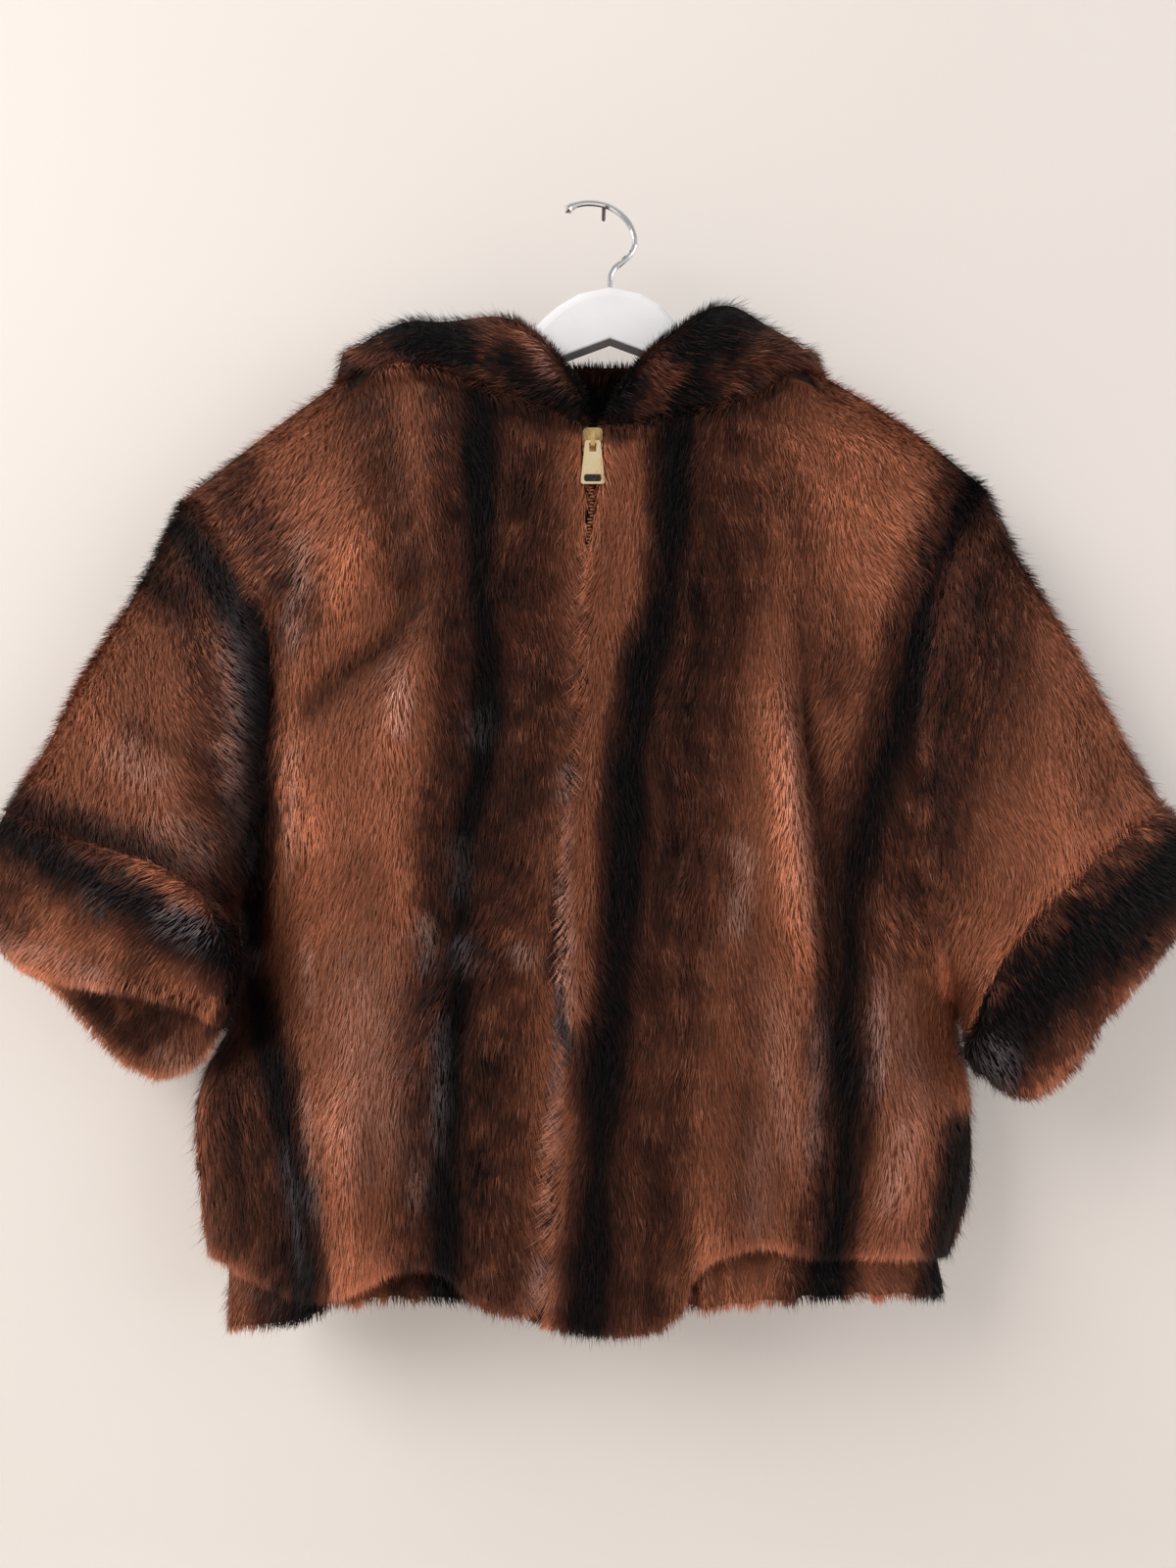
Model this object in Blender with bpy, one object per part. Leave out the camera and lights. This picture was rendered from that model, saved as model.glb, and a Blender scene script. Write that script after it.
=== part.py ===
"""Short hooded jacket of striped faux fur, zipped shut, hanging flat on a white hanger.

The jacket faces -Y and hangs down -Z from the origin, the point where the hanger's hook bears.
Right and left are the wearer's, so the right side is at -X. Sizes are in millimetres, and the
finished meshes are in metres. The cloth is laid out on the hanger's plane as it is seen from the
front, puffed out to the front and back from its folds, and given its thickness.
"""

import math
from collections import namedtuple

import bmesh
import bpy
import numpy as np

MM = 0.001
SEAM_GAP = 0.34

# The view that the outlines belong to: what is nearer than the hanger's plane looks larger.
EYE_DISTANCE = 722
EYE_ACROSS = -10
EYE_DROP = 367.5

# Thickness of the fur cloth, backing and lying pile together
BODY_WALL = 10
HOOD_WALL = 12

# The front edges are pressed thin beside the zip, most of all under the slider and its pull
ZIP_EDGE_WIDTH = 22
ZIP_EDGE_DROPS = (139, 205, 240)
ZIP_EDGE_DIPS = (5.0, 5.0, 3.0)
ZIP_EDGE_WALLS = (2.0, 2.0, 5.0)
ZIP_OPEN_DROPS = (150, 166, 178, 225, 245)
ZIP_OPEN_HALVES = (7.2, 7.0, 2.6, 2.2, 0.17)

# How the cloth rounds away from its folds: radius at the fold, then a slow rise over a width
FRONT_ROUND = 25
BACK_ROUND = 22
FRONT_RISE = 24
BACK_RISE = 6
RISE_WIDTH = 75
BELLY = 8
BELLY_DROP = 540
BELLY_SPREAD = 160
SLEEVE_FULLNESS = 0.86

# Cells along each seam
NECK_CELLS = 11
SHOULDER_CELLS = 8
BACK_NECK_CELLS = 7
SIDE_CELLS = 10
SLEEVE_CELLS = 6
CUFF_CELLS = 5
ARMHOLE_STEPS = (0, 0.012, 0.035, 0.08, 0.16, 0.27, 0.38, 0.5, 0.62, 0.73, 0.84, 0.92, 0.965, 0.988, 1)

# Seams and folds on the hanger's plane, each a short run of (across, drop)
CLOSURE = ((-7, 139), (-8, 190), (-16, 305), (-25, 410), (-28, 500), (-34, 610), (-44, 706))
SideLines = namedtuple(
    "SideLines",
    "neck shoulder armhole side band_end hem sleeve_top underarm cuff_seam cuff_outer cuff_inner front_rim back_rim",
)
RIGHT = SideLines(
    neck=((-14, 137), (-30, 130), (-70, 116), (-108, 101), (-143, 101), (-171, 113)),
    shoulder=((-171, 113), (-215, 145), (-266, 185)),
    armhole=((-266, 185), (-226, 243), (-213, 280), (-219, 355), (-221, 400), (-226, 436)),
    side=((-226, 436), (-223, 475), (-236, 520), (-259, 562), (-257, 625), (-252, 664)),
    band_end=((-252, 664), (-246, 714)),
    hem=((-44, 706), (-79, 696), (-104, 673), (-135, 673), (-165, 689), (-196, 691), (-252, 664)),
    sleeve_top=((-266, 185), (-307, 249), (-346, 317), (-380, 384)),
    underarm=((-226, 436), (-236, 456)),
    cuff_seam=((-380, 384), (-313, 410), (-277, 422), (-252, 441), (-236, 456)),
    cuff_outer=((-380, 384), (-390, 410), (-397, 444)),
    cuff_inner=((-236, 456), (-238, 490), (-240, 518)),
    front_rim=((-397, 444), (-382, 474), (-351, 489), (-309, 496), (-270, 508), (-240, 518)),
    back_rim=((-397, 444), (-372, 480), (-335, 519), (-310, 542), (-282, 553), (-258, 543), (-240, 518)),
)
LEFT = SideLines(
    neck=((0, 138), (20, 138), (50, 131), (94, 119), (125, 103), (140, 108)),
    shoulder=((140, 108), (190, 138), (242, 178)),
    armhole=((242, 178), (222, 222), (208, 290), (205, 360), (209, 430), (224, 505)),
    side=((224, 505), (223, 530), (232, 562), (235, 592), (232, 630), (221, 664)),
    band_end=((221, 664), (222, 693)),
    hem=((-44, 706), (-20, 713), (22, 714), (46, 704), (60, 672), (97, 657), (140, 664), (221, 664)),
    sleeve_top=((242, 178), (265, 217), (303, 277), (338, 342), (354, 380)),
    underarm=((224, 505), (231, 526)),
    cuff_seam=((354, 380), (313, 412), (275, 449), (250, 484), (231, 526)),
    cuff_outer=((354, 380), (370, 400), (386, 431)),
    cuff_inner=((231, 526), (233, 540), (239, 551)),
    front_rim=((386, 431), (362, 466), (331, 503), (302, 541), (283, 559), (262, 566), (239, 551)),
    back_rim=((386, 431), (358, 460), (325, 496), (296, 532), (280, 548), (260, 556), (239, 551)),
)
BACK_NECK = ((-171, 113), (-100, 99), (0, 96), (80, 98), (140, 108))
BACK_HEM = ((-252, 664), (-180, 682), (-60, 690), (80, 686), (170, 676), (221, 664))

# How far each sleeve's lower corner is lifted in front of the body, over what width, and how far above the
# underarm its fold leads in, as a share of the underarm's length
Lap = namedtuple("Lap", "lift width lead")
RIGHT_LAP = Lap(42, 60, 1.0)
LEFT_LAP = Lap(30, 50, 0.05)
SIDE_SETBACK = 7
SIDE_SETBACK_WIDTH = 55

UNDERARM_GAP = 2.5
UNDERARM_GAP_WIDTH = 15
UNDERARM_PRESS = 5
UNDERARM_WIDTH = 24
SMOOTH_WIDTH = 16
SMOOTH_STEPS = 4

# Folds pressed into the cloth: troughs have a negative height. A fold falls away over one width
# on its wearer's-right side and another on its left side.
Fold = namedtuple("Fold", "height right_width left_width path")
FRONT_FOLDS = (
    Fold(-17, 9, 18, ((-226, 243), (-213, 280), (-219, 355), (-222, 400), (-227, 445))),
    Fold(-8, 14, 10, ((124, 272), (135, 355), (148, 436), (152, 505), (148, 566))),
    Fold(7, 16, 12, ((112, 290), (120, 370), (130, 450), (132, 520))),
    Fold(6, 11, 14, ((171, 470), (168, 505), (174, 570))),
    Fold(-7, 12, 12, ((20, 402), (56, 412), (75, 424), (92, 426))),
    Fold(5, 12, 14, ((30, 420), (62, 430), (84, 440))),
    Fold(-8, 10, 14, ((-84, 494), (-92, 517), (-96, 547))),
    Fold(6, 14, 12, ((-94, 494), (-106, 520), (-108, 552))),
    Fold(7, 20, 20, ((-170, 540), (-166, 620), (-158, 710))),
    Fold(-7, 12, 16, ((-196, 530), (-190, 620), (-180, 715))),
    Fold(7, 18, 18, ((-120, 300), (-122, 400), (-128, 480))),
    Fold(6, 16, 16, ((-60, 580), (-66, 650), (-72, 730))),
    Fold(-5, 12, 12, ((96, 540), (98, 610), (94, 690))),
    Fold(6, 16, 14, ((60, 530), (66, 600), (66, 700))),
    Fold(-4, 14, 12, ((-150, 200), (-130, 235), (-122, 275))),
    Fold(5, 14, 14, ((-160, 330), (-140, 420), (-150, 520))),
    Fold(-7, 12, 12, ((161, 570), (158, 630), (152, 700))),
)
BACK_FOLDS = (
    Fold(-6, 16, 14, ((-140, 330), (-150, 450), (-146, 600))),
    Fold(5, 16, 18, ((-112, 360), (-118, 480), (-112, 620))),
    Fold(-5, 14, 18, ((30, 400), (24, 520), (32, 660))),
    Fold(5, 18, 14, ((60, 380), (58, 500), (66, 640))),
    Fold(-6, 14, 16, ((150, 300), (160, 440), (152, 590))),
    Fold(4, 16, 16, ((-40, 430), (-46, 540), (-38, 650))),
)

# Swelling and wall of a cuff, from its seam to its rim
CUFF_SWELL = (0, 6, 8, 8, 6, 1)
CUFF_WALLS = (10, 10, 11, 12, 12, 12)

# Hood lying back: the crest that shows over the neck seam, its front edge, and the bag behind
RIGHT_CREST = ((-56, 67), (-72, 64), (-103, 68), (-124, 67), (-146, 76), (-166, 92))
LEFT_CREST = ((72, 58), (80, 57), (90, 60), (107, 71), (122, 80), (134, 92))
RIGHT_FRONT_EDGE = ((-14, 137), (-12, 122), (-22, 107), (-38, 84), (-56, 67))
LEFT_FRONT_EDGE = ((0, 138), (8, 124), (18, 106), (40, 83), (72, 58))
HOOD_TOP_DROP = 104
HOOD_BOTTOM_DROP = 300
HOOD_BACK_EDGE = ((-34, 92), (0, 104))
HOOD_OUTLINE = ((-168, 145), (-160, 210), (-134, 268), (-80, 298))
HOOD_BULGE = 9
HOOD_ROUND = 28
HOOD_BACK_DEPTH = 41
HOOD_BAG_SWELL = 13
HOOD_FRONT_CELLS = 5
HOOD_BACK_CELLS = 9

# Hem band, tucked up behind the edge of the body that blouses over it, and swelling out below it
BAND_WALL = 7
BAND_TUCKED = 13
BAND_SHOWN = 4
BAND_TOP = ((-262, 645), (240, 645))
BAND_BOTTOM = ((-262, 713), (-246, 714), (-197, 709), (-175, 700), (-120, 694), (-60, 698), (20, 701), (78, 700),
               (115, 696), (160, 693), (222, 693), (240, 693))
BAND_FRONT_RIGHT_CELLS = 30
BAND_FRONT_LEFT_CELLS = 38
BAND_BACK_CELLS = 32
BAND_ROWS = 3
BAND_GATHER = 17
BAND_GATHER_HEIGHT = 2.2

# Zip: tapes behind the fur edges, the chain of teeth between them, slider and pull
TAPE_WIDTH = 10.5
TAPE_THICKNESS = 1.2
CHAIN_WIDTH = 4.7
CHAIN_THICKNESS = 2.2
TAPE_TO_CHAIN = 0.35
TAPE_BEHIND = 0.9
ZIP_CELLS = 22
SLIDER_WIDTH = 12
SLIDER_HEIGHT = 15.6
SLIDER_TOP = 141
PLATE_THICKNESS = 1.8
BACK_PLATE_THICKNESS = 1.2
POST_WIDTH = 3.4
POST_HEIGHT = 4
RUNNING_GAP = 0.35
CROWN_WIDTH = 2.6
CROWN_INSIDE = 4.2
CROWN_THICKNESS = 1.2
CROWN_HEIGHT = 11
PULL_LENGTH = 26
PULL_THICKNESS = 1.6
PULL_TOP_WIDTH = 9.2
PULL_FOOT_WIDTH = 14.5
PULL_BAR = 1.6
PULL_WINDOW_WIDTH = 4.2
PULL_WINDOW_LENGTH = 5.2
INLAY_WIDTH = 10.2
INLAY_HEIGHT = 4
INLAY_DEPTH = 0.5
INLAY_UP = 3.6

# Hanger: its arms' tops lie under the shoulders' inside
HANGER_THICKNESS = 14
HANGER_MIDDLE = 4
HANGER_REACH = 224
HANGER_SEAT_GAP = 2.95
HANGER_TOP_ROUND = 6.6
HANGER_FOOT_ROUND = 1.2
HANGER_DOME = ((-160, 125), (-110, 106), (-66, 93), (-46, 80), (-38, 71), (-29, 63.5), (-16, 55.8), (4, 51.5),
               (24, 55.8), (37, 63.5), (47, 75.5), (56, 82), (76, 92), (128, 118))
HANGER_UNDERSIDE = ((229, 196), (160, 150), (88, 118), (31, 96), (4, 86), (-23, 96), (-80, 118), (-150, 147), (-221, 184))
HOOK_WIRE = 3.8
HOOK_BALL = 6.4
HOOK_BORE = 4.6
HOOK_DEPTH = 12
HOOK_PATH = ((-24.4, 3.2), (-20.8, -0.4), (-13.5, -2.6), (-5, -2.6), (3.5, -0.4), (11.3, 4.8), (16.9, 11.9),
             (19.8, 20.5), (18.6, 27.6), (13.3, 33.4), (7.2, 38.6), (4.3, 44), (4, 50), (4, 62))


def spline(points, spacing=3.0):
    """A smooth line through the points, as closely spaced places."""
    knots = np.array(points, float)
    ends = np.vstack([2 * knots[0] - knots[1], knots, 2 * knots[-1] - knots[-2]])
    line = []
    for before, start, stop, after in zip(ends, ends[1:], ends[2:], ends[3:]):
        count = max(2, int(np.linalg.norm(stop - start) / spacing))
        for t in np.arange(count) / count:
            line.append(
                0.5
                * (
                    2 * start
                    + (stop - before) * t
                    + (2 * before - 5 * start + 4 * stop - after) * t**2
                    + (3 * start - before - 3 * stop + after) * t**3
                )
            )
    line.append(knots[-1])
    return np.array(line)


def along(points, shares):
    """Places on a smooth line through the points, at shares of its length."""
    line = spline(points)
    runs = np.r_[0, np.cumsum(np.linalg.norm(np.diff(line, axis=0), axis=1))]
    at = np.asarray(shares, float) * runs[-1]
    return np.stack([np.interp(at, runs, line[:, 0]), np.interp(at, runs, line[:, 1])], -1)


def even(cells):
    return np.linspace(0, 1, cells + 1)


def closing(cells, power=1.35):
    """Shares that crowd together towards 1, where the cloth rounds into a fold."""
    return 1 - (1 - even(cells)) ** power


def joined(*runs):
    """Runs of places end to end, with each shared place once."""
    return np.vstack([runs[0]] + [run[1:] for run in runs[1:]])


def shares_of(places):
    runs = np.r_[0, np.cumsum(np.linalg.norm(np.diff(places, axis=0), axis=1))]
    return runs / runs[-1]


def patch(first, last, start, stop):
    """A grid of places between four edges: first and last run along it, start and stop across it."""
    u = (shares_of(first) + shares_of(last))[:, None, None] / 2
    v = (shares_of(start) + shares_of(stop))[None, :, None] / 2
    ruled = (1 - v) * first[:, None] + v * last[:, None] + (1 - u) * start[None] + u * stop[None]
    corners = (1 - u) * (1 - v) * first[0] + (1 - u) * v * last[0] + u * (1 - v) * first[-1] + u * v * last[-1]
    return ruled - corners


def tangents(line, span=4):
    """Unit direction of each run of a line, evened out over a span of runs on both sides."""
    run = np.arange(len(line) - 1)
    ahead = line[np.minimum(run + 1 + span, len(line) - 1)] - line[np.maximum(run - span, 0)]
    return ahead / np.linalg.norm(ahead, axis=-1, keepdims=True)


def nearest(places, line):
    """Distance from each place to a line, the way to it, its side, its share of the line and its run there."""
    starts, stops = line[:-1], line[1:]
    runs = stops - starts
    to_place = places[..., None, :] - starts
    t = np.clip((to_place * runs).sum(-1) / (runs**2).sum(-1), 0, 1)
    gaps = starts + t[..., None] * runs - places[..., None, :]
    far = np.linalg.norm(gaps, axis=-1)
    best = far.argmin(-1)
    pick = np.expand_dims(best, -1)
    distance = np.take_along_axis(far, pick, -1)[..., 0]
    way = np.take_along_axis(gaps, pick[..., None], -2)[..., 0, :]
    share = (best + np.take_along_axis(t, pick, -1)[..., 0]) / len(runs)
    run = tangents(line)[best]
    side = np.sign(run[..., 0] * way[..., 1] - run[..., 1] * way[..., 0])
    return distance, way, side, share, run


def ease(value):
    value = np.clip(value, 0, 1)
    return value * value * (3 - 2 * value)


def reach(places, folds, centre, start_turn=1):
    """Distance to the nearest of the fold lines, and the unit way out over it.

    At the very start of a line the way out turns along the line, by start_turn to one.
    """
    best = np.full(places.shape[:-1], np.inf)
    outward = np.zeros(places.shape)
    for fold in folds:
        distance, way, _, share, run = nearest(places, fold)
        square = np.stack([run[..., 1], -run[..., 0]], -1)
        square *= np.sign((square * (places + way - centre)).sum(-1, keepdims=True))
        square += start_turn * run * (share < 1e-4)[..., None]
        near = np.clip(distance / 3, 0, 1)[..., None]
        out = near * way / np.maximum(distance, 1e-9)[..., None] + (1 - near) * square
        out /= np.maximum(np.linalg.norm(out, axis=-1, keepdims=True), 1e-9)
        nearer = distance < best
        best = np.where(nearer, distance, best)
        outward = np.where(nearer[..., None], out, outward)
    return np.maximum(best - 0.05, 0), outward


def puff(places, folds, centre, facing, start_turn=1):
    """Depth and outward normal of cloth that rounds out from its folds, to the front (-1) or back (1)."""
    radius, rise = (FRONT_ROUND, FRONT_RISE) if facing < 0 else (BACK_ROUND, BACK_RISE)
    distance, outward = reach(places, folds, centre, start_turn)
    sideways = 1 - np.minimum(distance / radius, 1)
    ahead = np.sqrt(1 - sideways**2)
    t = np.clip(distance / RISE_WIDTH, 0, 1)
    slope = rise * 6 * t * (1 - t) / RISE_WIDTH
    belly = np.exp(-(((places[..., 1] - BELLY_DROP) / BELLY_SPREAD) ** 2)) * BELLY if facing < 0 else 0
    depth = facing * (radius * ahead + (rise + belly) * ease(t))
    flat = outward * (sideways + ahead * slope)[..., None]
    normal = np.stack([flat[..., 0], facing * ahead, -flat[..., 1]], -1)
    return depth, normal / np.linalg.norm(normal, axis=-1, keepdims=True)


def pressed(places, folds):
    """Height that the folds add to the cloth at each place."""
    height = np.zeros(places.shape[:-1])
    for fold in folds:
        distance, way, side, share, _ = nearest(places, spline(fold.path))
        width = np.where(side > 0, fold.right_width, fold.left_width)
        fade = ease(np.minimum(share, 1 - share) / 0.22)
        height += fold.height * fade * np.exp(-((distance / width) ** 2))
    return height


def closeness_to_zip(places):
    """1 at the zip, falling away beside it."""
    distance = nearest(places, spline(CLOSURE))[0]
    return np.exp(-((distance / ZIP_EDGE_WIDTH) ** 4))


def beside_zip(line, sign):
    """The closure's places, moved aside by what slider, teeth and shut edges leave open."""
    open_half = np.interp(line[:, 1], ZIP_OPEN_DROPS, ZIP_OPEN_HALVES)
    return np.stack([line[:, 0] + sign * open_half, line[:, 1]], -1)


def to_space(places, depth):
    """Points in millimetres for cloth seen at these places and lying this far behind the hanger's plane."""
    nearness = 1 + np.minimum(depth, 0) / EYE_DISTANCE
    across = EYE_ACROSS + (places[..., 0] - EYE_ACROSS) * nearness
    drop = EYE_DROP + (places[..., 1] - EYE_DROP) * nearness
    return np.stack([across, depth, -drop], -1)


def moved(places, depth, normal, amount):
    """Points in millimetres, off the cloth's surface along its normal."""
    amount = np.broadcast_to(np.asarray(amount, float), depth.shape)
    across = places[..., 0] + normal[..., 0] * amount
    drop = places[..., 1] - normal[..., 2] * amount
    return to_space(np.stack([across, drop], -1), depth + normal[..., 1] * amount)


def material(name, colour, roughness, metallic=0.0):
    made = bpy.data.materials.new(name)
    made.use_nodes = True
    shader = made.node_tree.nodes["Principled BSDF"]
    shader.inputs["Base Color"].default_value = (*colour, 1)
    shader.inputs["Roughness"].default_value = roughness
    shader.inputs["Metallic"].default_value = metallic
    return made


def add_object(name, points, faces, look):
    """An object from points in millimetres."""
    mesh = bpy.data.meshes.new(name)
    mesh.from_pydata((np.asarray(points) * MM).tolist(), [], faces)
    mesh.materials.append(look)
    mesh.shade_smooth()
    made = bpy.data.objects.new(name, mesh)
    bpy.context.scene.collection.objects.link(made)
    return made


def pull_in(grid, wrap, first_gap, last_gap):
    """Moves the free edges of a grid of points in by half a seam gap, or by first_gap and last_gap at its rings."""
    grid = grid.copy()
    if not wrap:
        for edge, inner in ((0, 1), (-1, -2)):
            way = grid[edge] - grid[inner]
            grid[edge] -= way / np.linalg.norm(way, axis=-1, keepdims=True) * SEAM_GAP / 2
    for edge, inner, gap in ((0, 1, first_gap), (-1, -2, last_gap)):
        way = grid[:, edge] - grid[:, inner]
        grid[:, edge] -= way / np.linalg.norm(way, axis=-1, keepdims=True) * np.reshape(gap, (-1, 1))
    return grid


def add_wall(name, outer, inner, look, wrap=False, first_gap=SEAM_GAP / 2, last_gap=SEAM_GAP / 2):
    """A cloth wall between two like grids of points. A wrapped grid closes on itself along its first way."""
    outer, inner = (pull_in(grid, wrap, first_gap, last_gap) for grid in (outer, inner))
    rows, columns = outer.shape[:2]
    points = np.vstack([outer.reshape(-1, 3), inner.reshape(-1, 3)])
    inside = rows * columns

    def at(row, column):
        return (row % rows) * columns + column

    faces = []
    for row in range(rows if wrap else rows - 1):
        for column in range(columns - 1):
            corners = [at(row, column), at(row + 1, column), at(row + 1, column + 1), at(row, column + 1)]
            faces.append(corners)
            faces.append([corner + inside for corner in reversed(corners)])
    rims = []
    for column, flip in ((0, False), (columns - 1, True)):
        for row in range(rows if wrap else rows - 1):
            rims.append((at(row, column), at(row + 1, column), flip))
    if not wrap:
        for row, flip in ((0, True), (rows - 1, False)):
            for column in range(columns - 1):
                rims.append((at(row, column), at(row, column + 1), flip))
    for first, second, flip in rims:
        faces += rim_faces(points, first, second, inside, flip)
    made = add_object(name, points, faces, look)
    turn_outward(made)
    return made


def rim_faces(points, first, second, inside, flip):
    """Two triangles from an outer edge to its inner edge, split the shorter way as its neighbour's are."""
    one = np.linalg.norm(points[first] - points[second + inside])
    other = np.linalg.norm(points[second] - points[first + inside])
    if one < other:
        split = [[first, first + inside, second + inside], [first, second + inside, second]]
    else:
        split = [[first, first + inside, second], [second, first + inside, second + inside]]
    return [face[::-1] for face in split] if flip else split


def turn_outward(made):
    """Turns every face of a closed object outward."""
    shape = bmesh.new()
    shape.from_mesh(made.data)
    bmesh.ops.recalc_face_normals(shape, faces=shape.faces)
    if shape.calc_volume(signed=True) < 0:
        bmesh.ops.reverse_faces(shape, faces=shape.faces)
    shape.to_mesh(made.data)
    shape.free()


def fold_lines(side):
    """The lines where front and back of the cloth meet: over the shoulder and sleeve, and down the side."""
    over = joined(spline(side.shoulder), spline(side.sleeve_top), spline(side.cuff_outer))
    return over, joined(spline(side.side), spline(side.band_end))


BODY_FOLDS = [*fold_lines(RIGHT), *fold_lines(LEFT)]
BODY_CENTRE = np.array((-10, 420))


def set_back(places):
    """How far the body's side edges are pressed back behind the cuffs."""
    amount = np.zeros(places.shape[:-1])
    for side in (RIGHT, LEFT):
        away = np.linalg.norm(places - np.array(side.cuff_inner[1]), axis=-1)
        amount += SIDE_SETBACK * np.exp(-((away / SIDE_SETBACK_WIDTH) ** 2))
    return amount


def body_skin(places, facing):
    """Depth and normal of the body's outer surface, before its folds are pressed in."""
    depth, normal = puff(places, BODY_FOLDS, BODY_CENTRE, facing, start_turn=8)
    return depth + set_back(places), normal


def body_wall(places, facing):
    """Outer and inner points of a body panel. The fronts are pressed thin beside the zip."""
    depth, normal = body_skin(places, facing)
    height = pressed(places, FRONT_FOLDS if facing < 0 else BACK_FOLDS)
    wall = BODY_WALL
    if facing < 0:
        close = closeness_to_zip(places)
        drop = places[..., 1]
        height = height * (1 - close) - np.interp(drop, ZIP_EDGE_DROPS, ZIP_EDGE_DIPS) * close
        wall = BODY_WALL + (np.interp(drop, ZIP_EDGE_DROPS, ZIP_EDGE_WALLS) - BODY_WALL) * close
    outer = moved(places, depth, normal, height)
    inner = moved(places, depth, normal, np.minimum(height, 0) - wall)
    return outer, inner


def front_hem(side):
    return along(side.hem, closing(NECK_CELLS + SHOULDER_CELLS))


def front_places(side, sign):
    """Grid of a front panel: along it from the zip to the sleeve, across it from neck to hem."""
    neck = along(side.neck, even(NECK_CELLS))
    shoulder = along(side.shoulder, closing(SHOULDER_CELLS))
    top = joined(neck, shoulder)
    outer = joined(along(side.armhole, ARMHOLE_STEPS), along(side.side, even(SIDE_CELLS)))
    zip_edge = beside_zip(along(CLOSURE, shares_of(outer)), sign)
    zip_edge[0] = top[0]
    hem = front_hem(side)
    hem[0] = zip_edge[-1]
    return patch(top, hem, zip_edge, outer)


def make_front(name, side, sign, look):
    places = front_places(side, sign)
    outer, inner = body_wall(places, -1)
    return add_wall(name, outer, inner, look)


def back_hem():
    cells = even(2 * SHOULDER_CELLS + BACK_NECK_CELLS)
    return along(BACK_HEM, (1 - np.cos(math.pi * cells)) * 0.35 + 0.3 * cells)


def make_back(look):
    """One back panel, from the right side seam to the left one."""
    right = joined(along(RIGHT.armhole, ARMHOLE_STEPS), along(RIGHT.side, even(SIDE_CELLS)))
    left = joined(along(LEFT.armhole, ARMHOLE_STEPS), along(LEFT.side, even(SIDE_CELLS)))
    top = joined(
        along(RIGHT.shoulder, closing(SHOULDER_CELLS))[::-1],
        along(BACK_NECK, even(BACK_NECK_CELLS)),
        along(LEFT.shoulder, closing(SHOULDER_CELLS)),
    )
    outer, inner = body_wall(patch(top, back_hem(), right, left), 1)
    return add_wall("back", outer, inner, look)


def lifted(places, side, lap, progress):
    """How far sleeve and cuff come forward over the body; progress is 1 at the cuff's seam."""
    inner = joined(spline(side.underarm), spline(side.cuff_inner))
    away = nearest(places, inner)[0]
    return -lap.lift * ease(progress / 1.25) * np.exp(-((away / lap.width) ** 2))


def sleeve_skin(places, side, lap, progress, facing):
    """Depth and normal of a sleeve or cuff. A sleeve starts (progress is 0) with the body's at the armhole."""
    over = fold_lines(side)[0]
    under = spline(side.underarm)
    under = joined([under[0] + (under[0] - under[-1]) * lap.lead], under, spline(side.cuff_inner))
    centre = (np.array(side.sleeve_top[1]) + np.array(side.cuff_seam[2])) / 2
    depth, normal = puff(places, [over, under], centre, facing)
    depth = depth * SLEEVE_FULLNESS + lifted(places, side, lap, progress)
    seam_depth, seam_normal = body_skin(places[:, :1], facing)
    rest = 1 - ease(progress)
    depth = depth + (seam_depth - depth[:, :1]) * rest
    normal = normal + (seam_normal - normal[:, :1]) * rest[..., None]
    return depth, normal / np.linalg.norm(normal, axis=-1, keepdims=True)


def seam_gap(ring):
    """Half the gap along a ring of places, wider where seam and fold meet sharply at the ring's end."""
    away = np.linalg.norm(ring - ring[-1], axis=-1)
    gap = SEAM_GAP / 2 + UNDERARM_GAP * np.exp(-((away / UNDERARM_GAP_WIDTH) ** 2))
    return tube_wall(gap, gap)


def tube_wall(front, back):
    """Joins a front and a back grid, which share both folds, into one grid that wraps round."""
    return np.concatenate([front, back[-2:0:-1]])


def make_sleeve(name, side, lap, look):
    """Sleeve as a tube: round it from the shoulder fold over the front to the underarm and back."""
    armhole = along(side.armhole, ARMHOLE_STEPS)
    cuff_seam = along(side.cuff_seam, ARMHOLE_STEPS)
    top = along(side.sleeve_top, even(SLEEVE_CELLS))
    under = along(side.underarm, even(SLEEVE_CELLS))
    places = patch(armhole, cuff_seam, top, under)
    progress = np.broadcast_to(even(SLEEVE_CELLS), places.shape[:2])
    walls = []
    for facing, folds in ((-1, FRONT_FOLDS), (1, BACK_FOLDS)):
        depth, normal = sleeve_skin(places, side, lap, progress, facing)
        height = pressed(places, folds)
        outer = moved(places, depth, normal, height)
        from_underarm = nearest(places, spline(side.underarm))[0]
        wall = BODY_WALL - UNDERARM_PRESS * np.exp(-((from_underarm / UNDERARM_WIDTH) ** 2))
        inner = moved(places, depth, normal, np.minimum(height, 0) - wall)
        walls.append((outer, inner))
    outer = tube_wall(walls[0][0], walls[1][0])
    inner = tube_wall(walls[0][1], walls[1][1])
    close = tube_wall(*[np.exp(-((from_underarm / SMOOTH_WIDTH) ** 2))[..., None]] * 2)
    for grid in (inner,):
        for _ in range(SMOOTH_STEPS):
            around = (np.roll(grid, 1, 0) + np.roll(grid, -1, 0))[:, 1:-1] + grid[:, 2:] + grid[:, :-2]
            grid[:, 1:-1] += (around / 4 - grid[:, 1:-1]) * close[:, 1:-1]
    return add_wall(name, outer, inner, look, True, seam_gap(armhole), seam_gap(cuff_seam))


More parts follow.
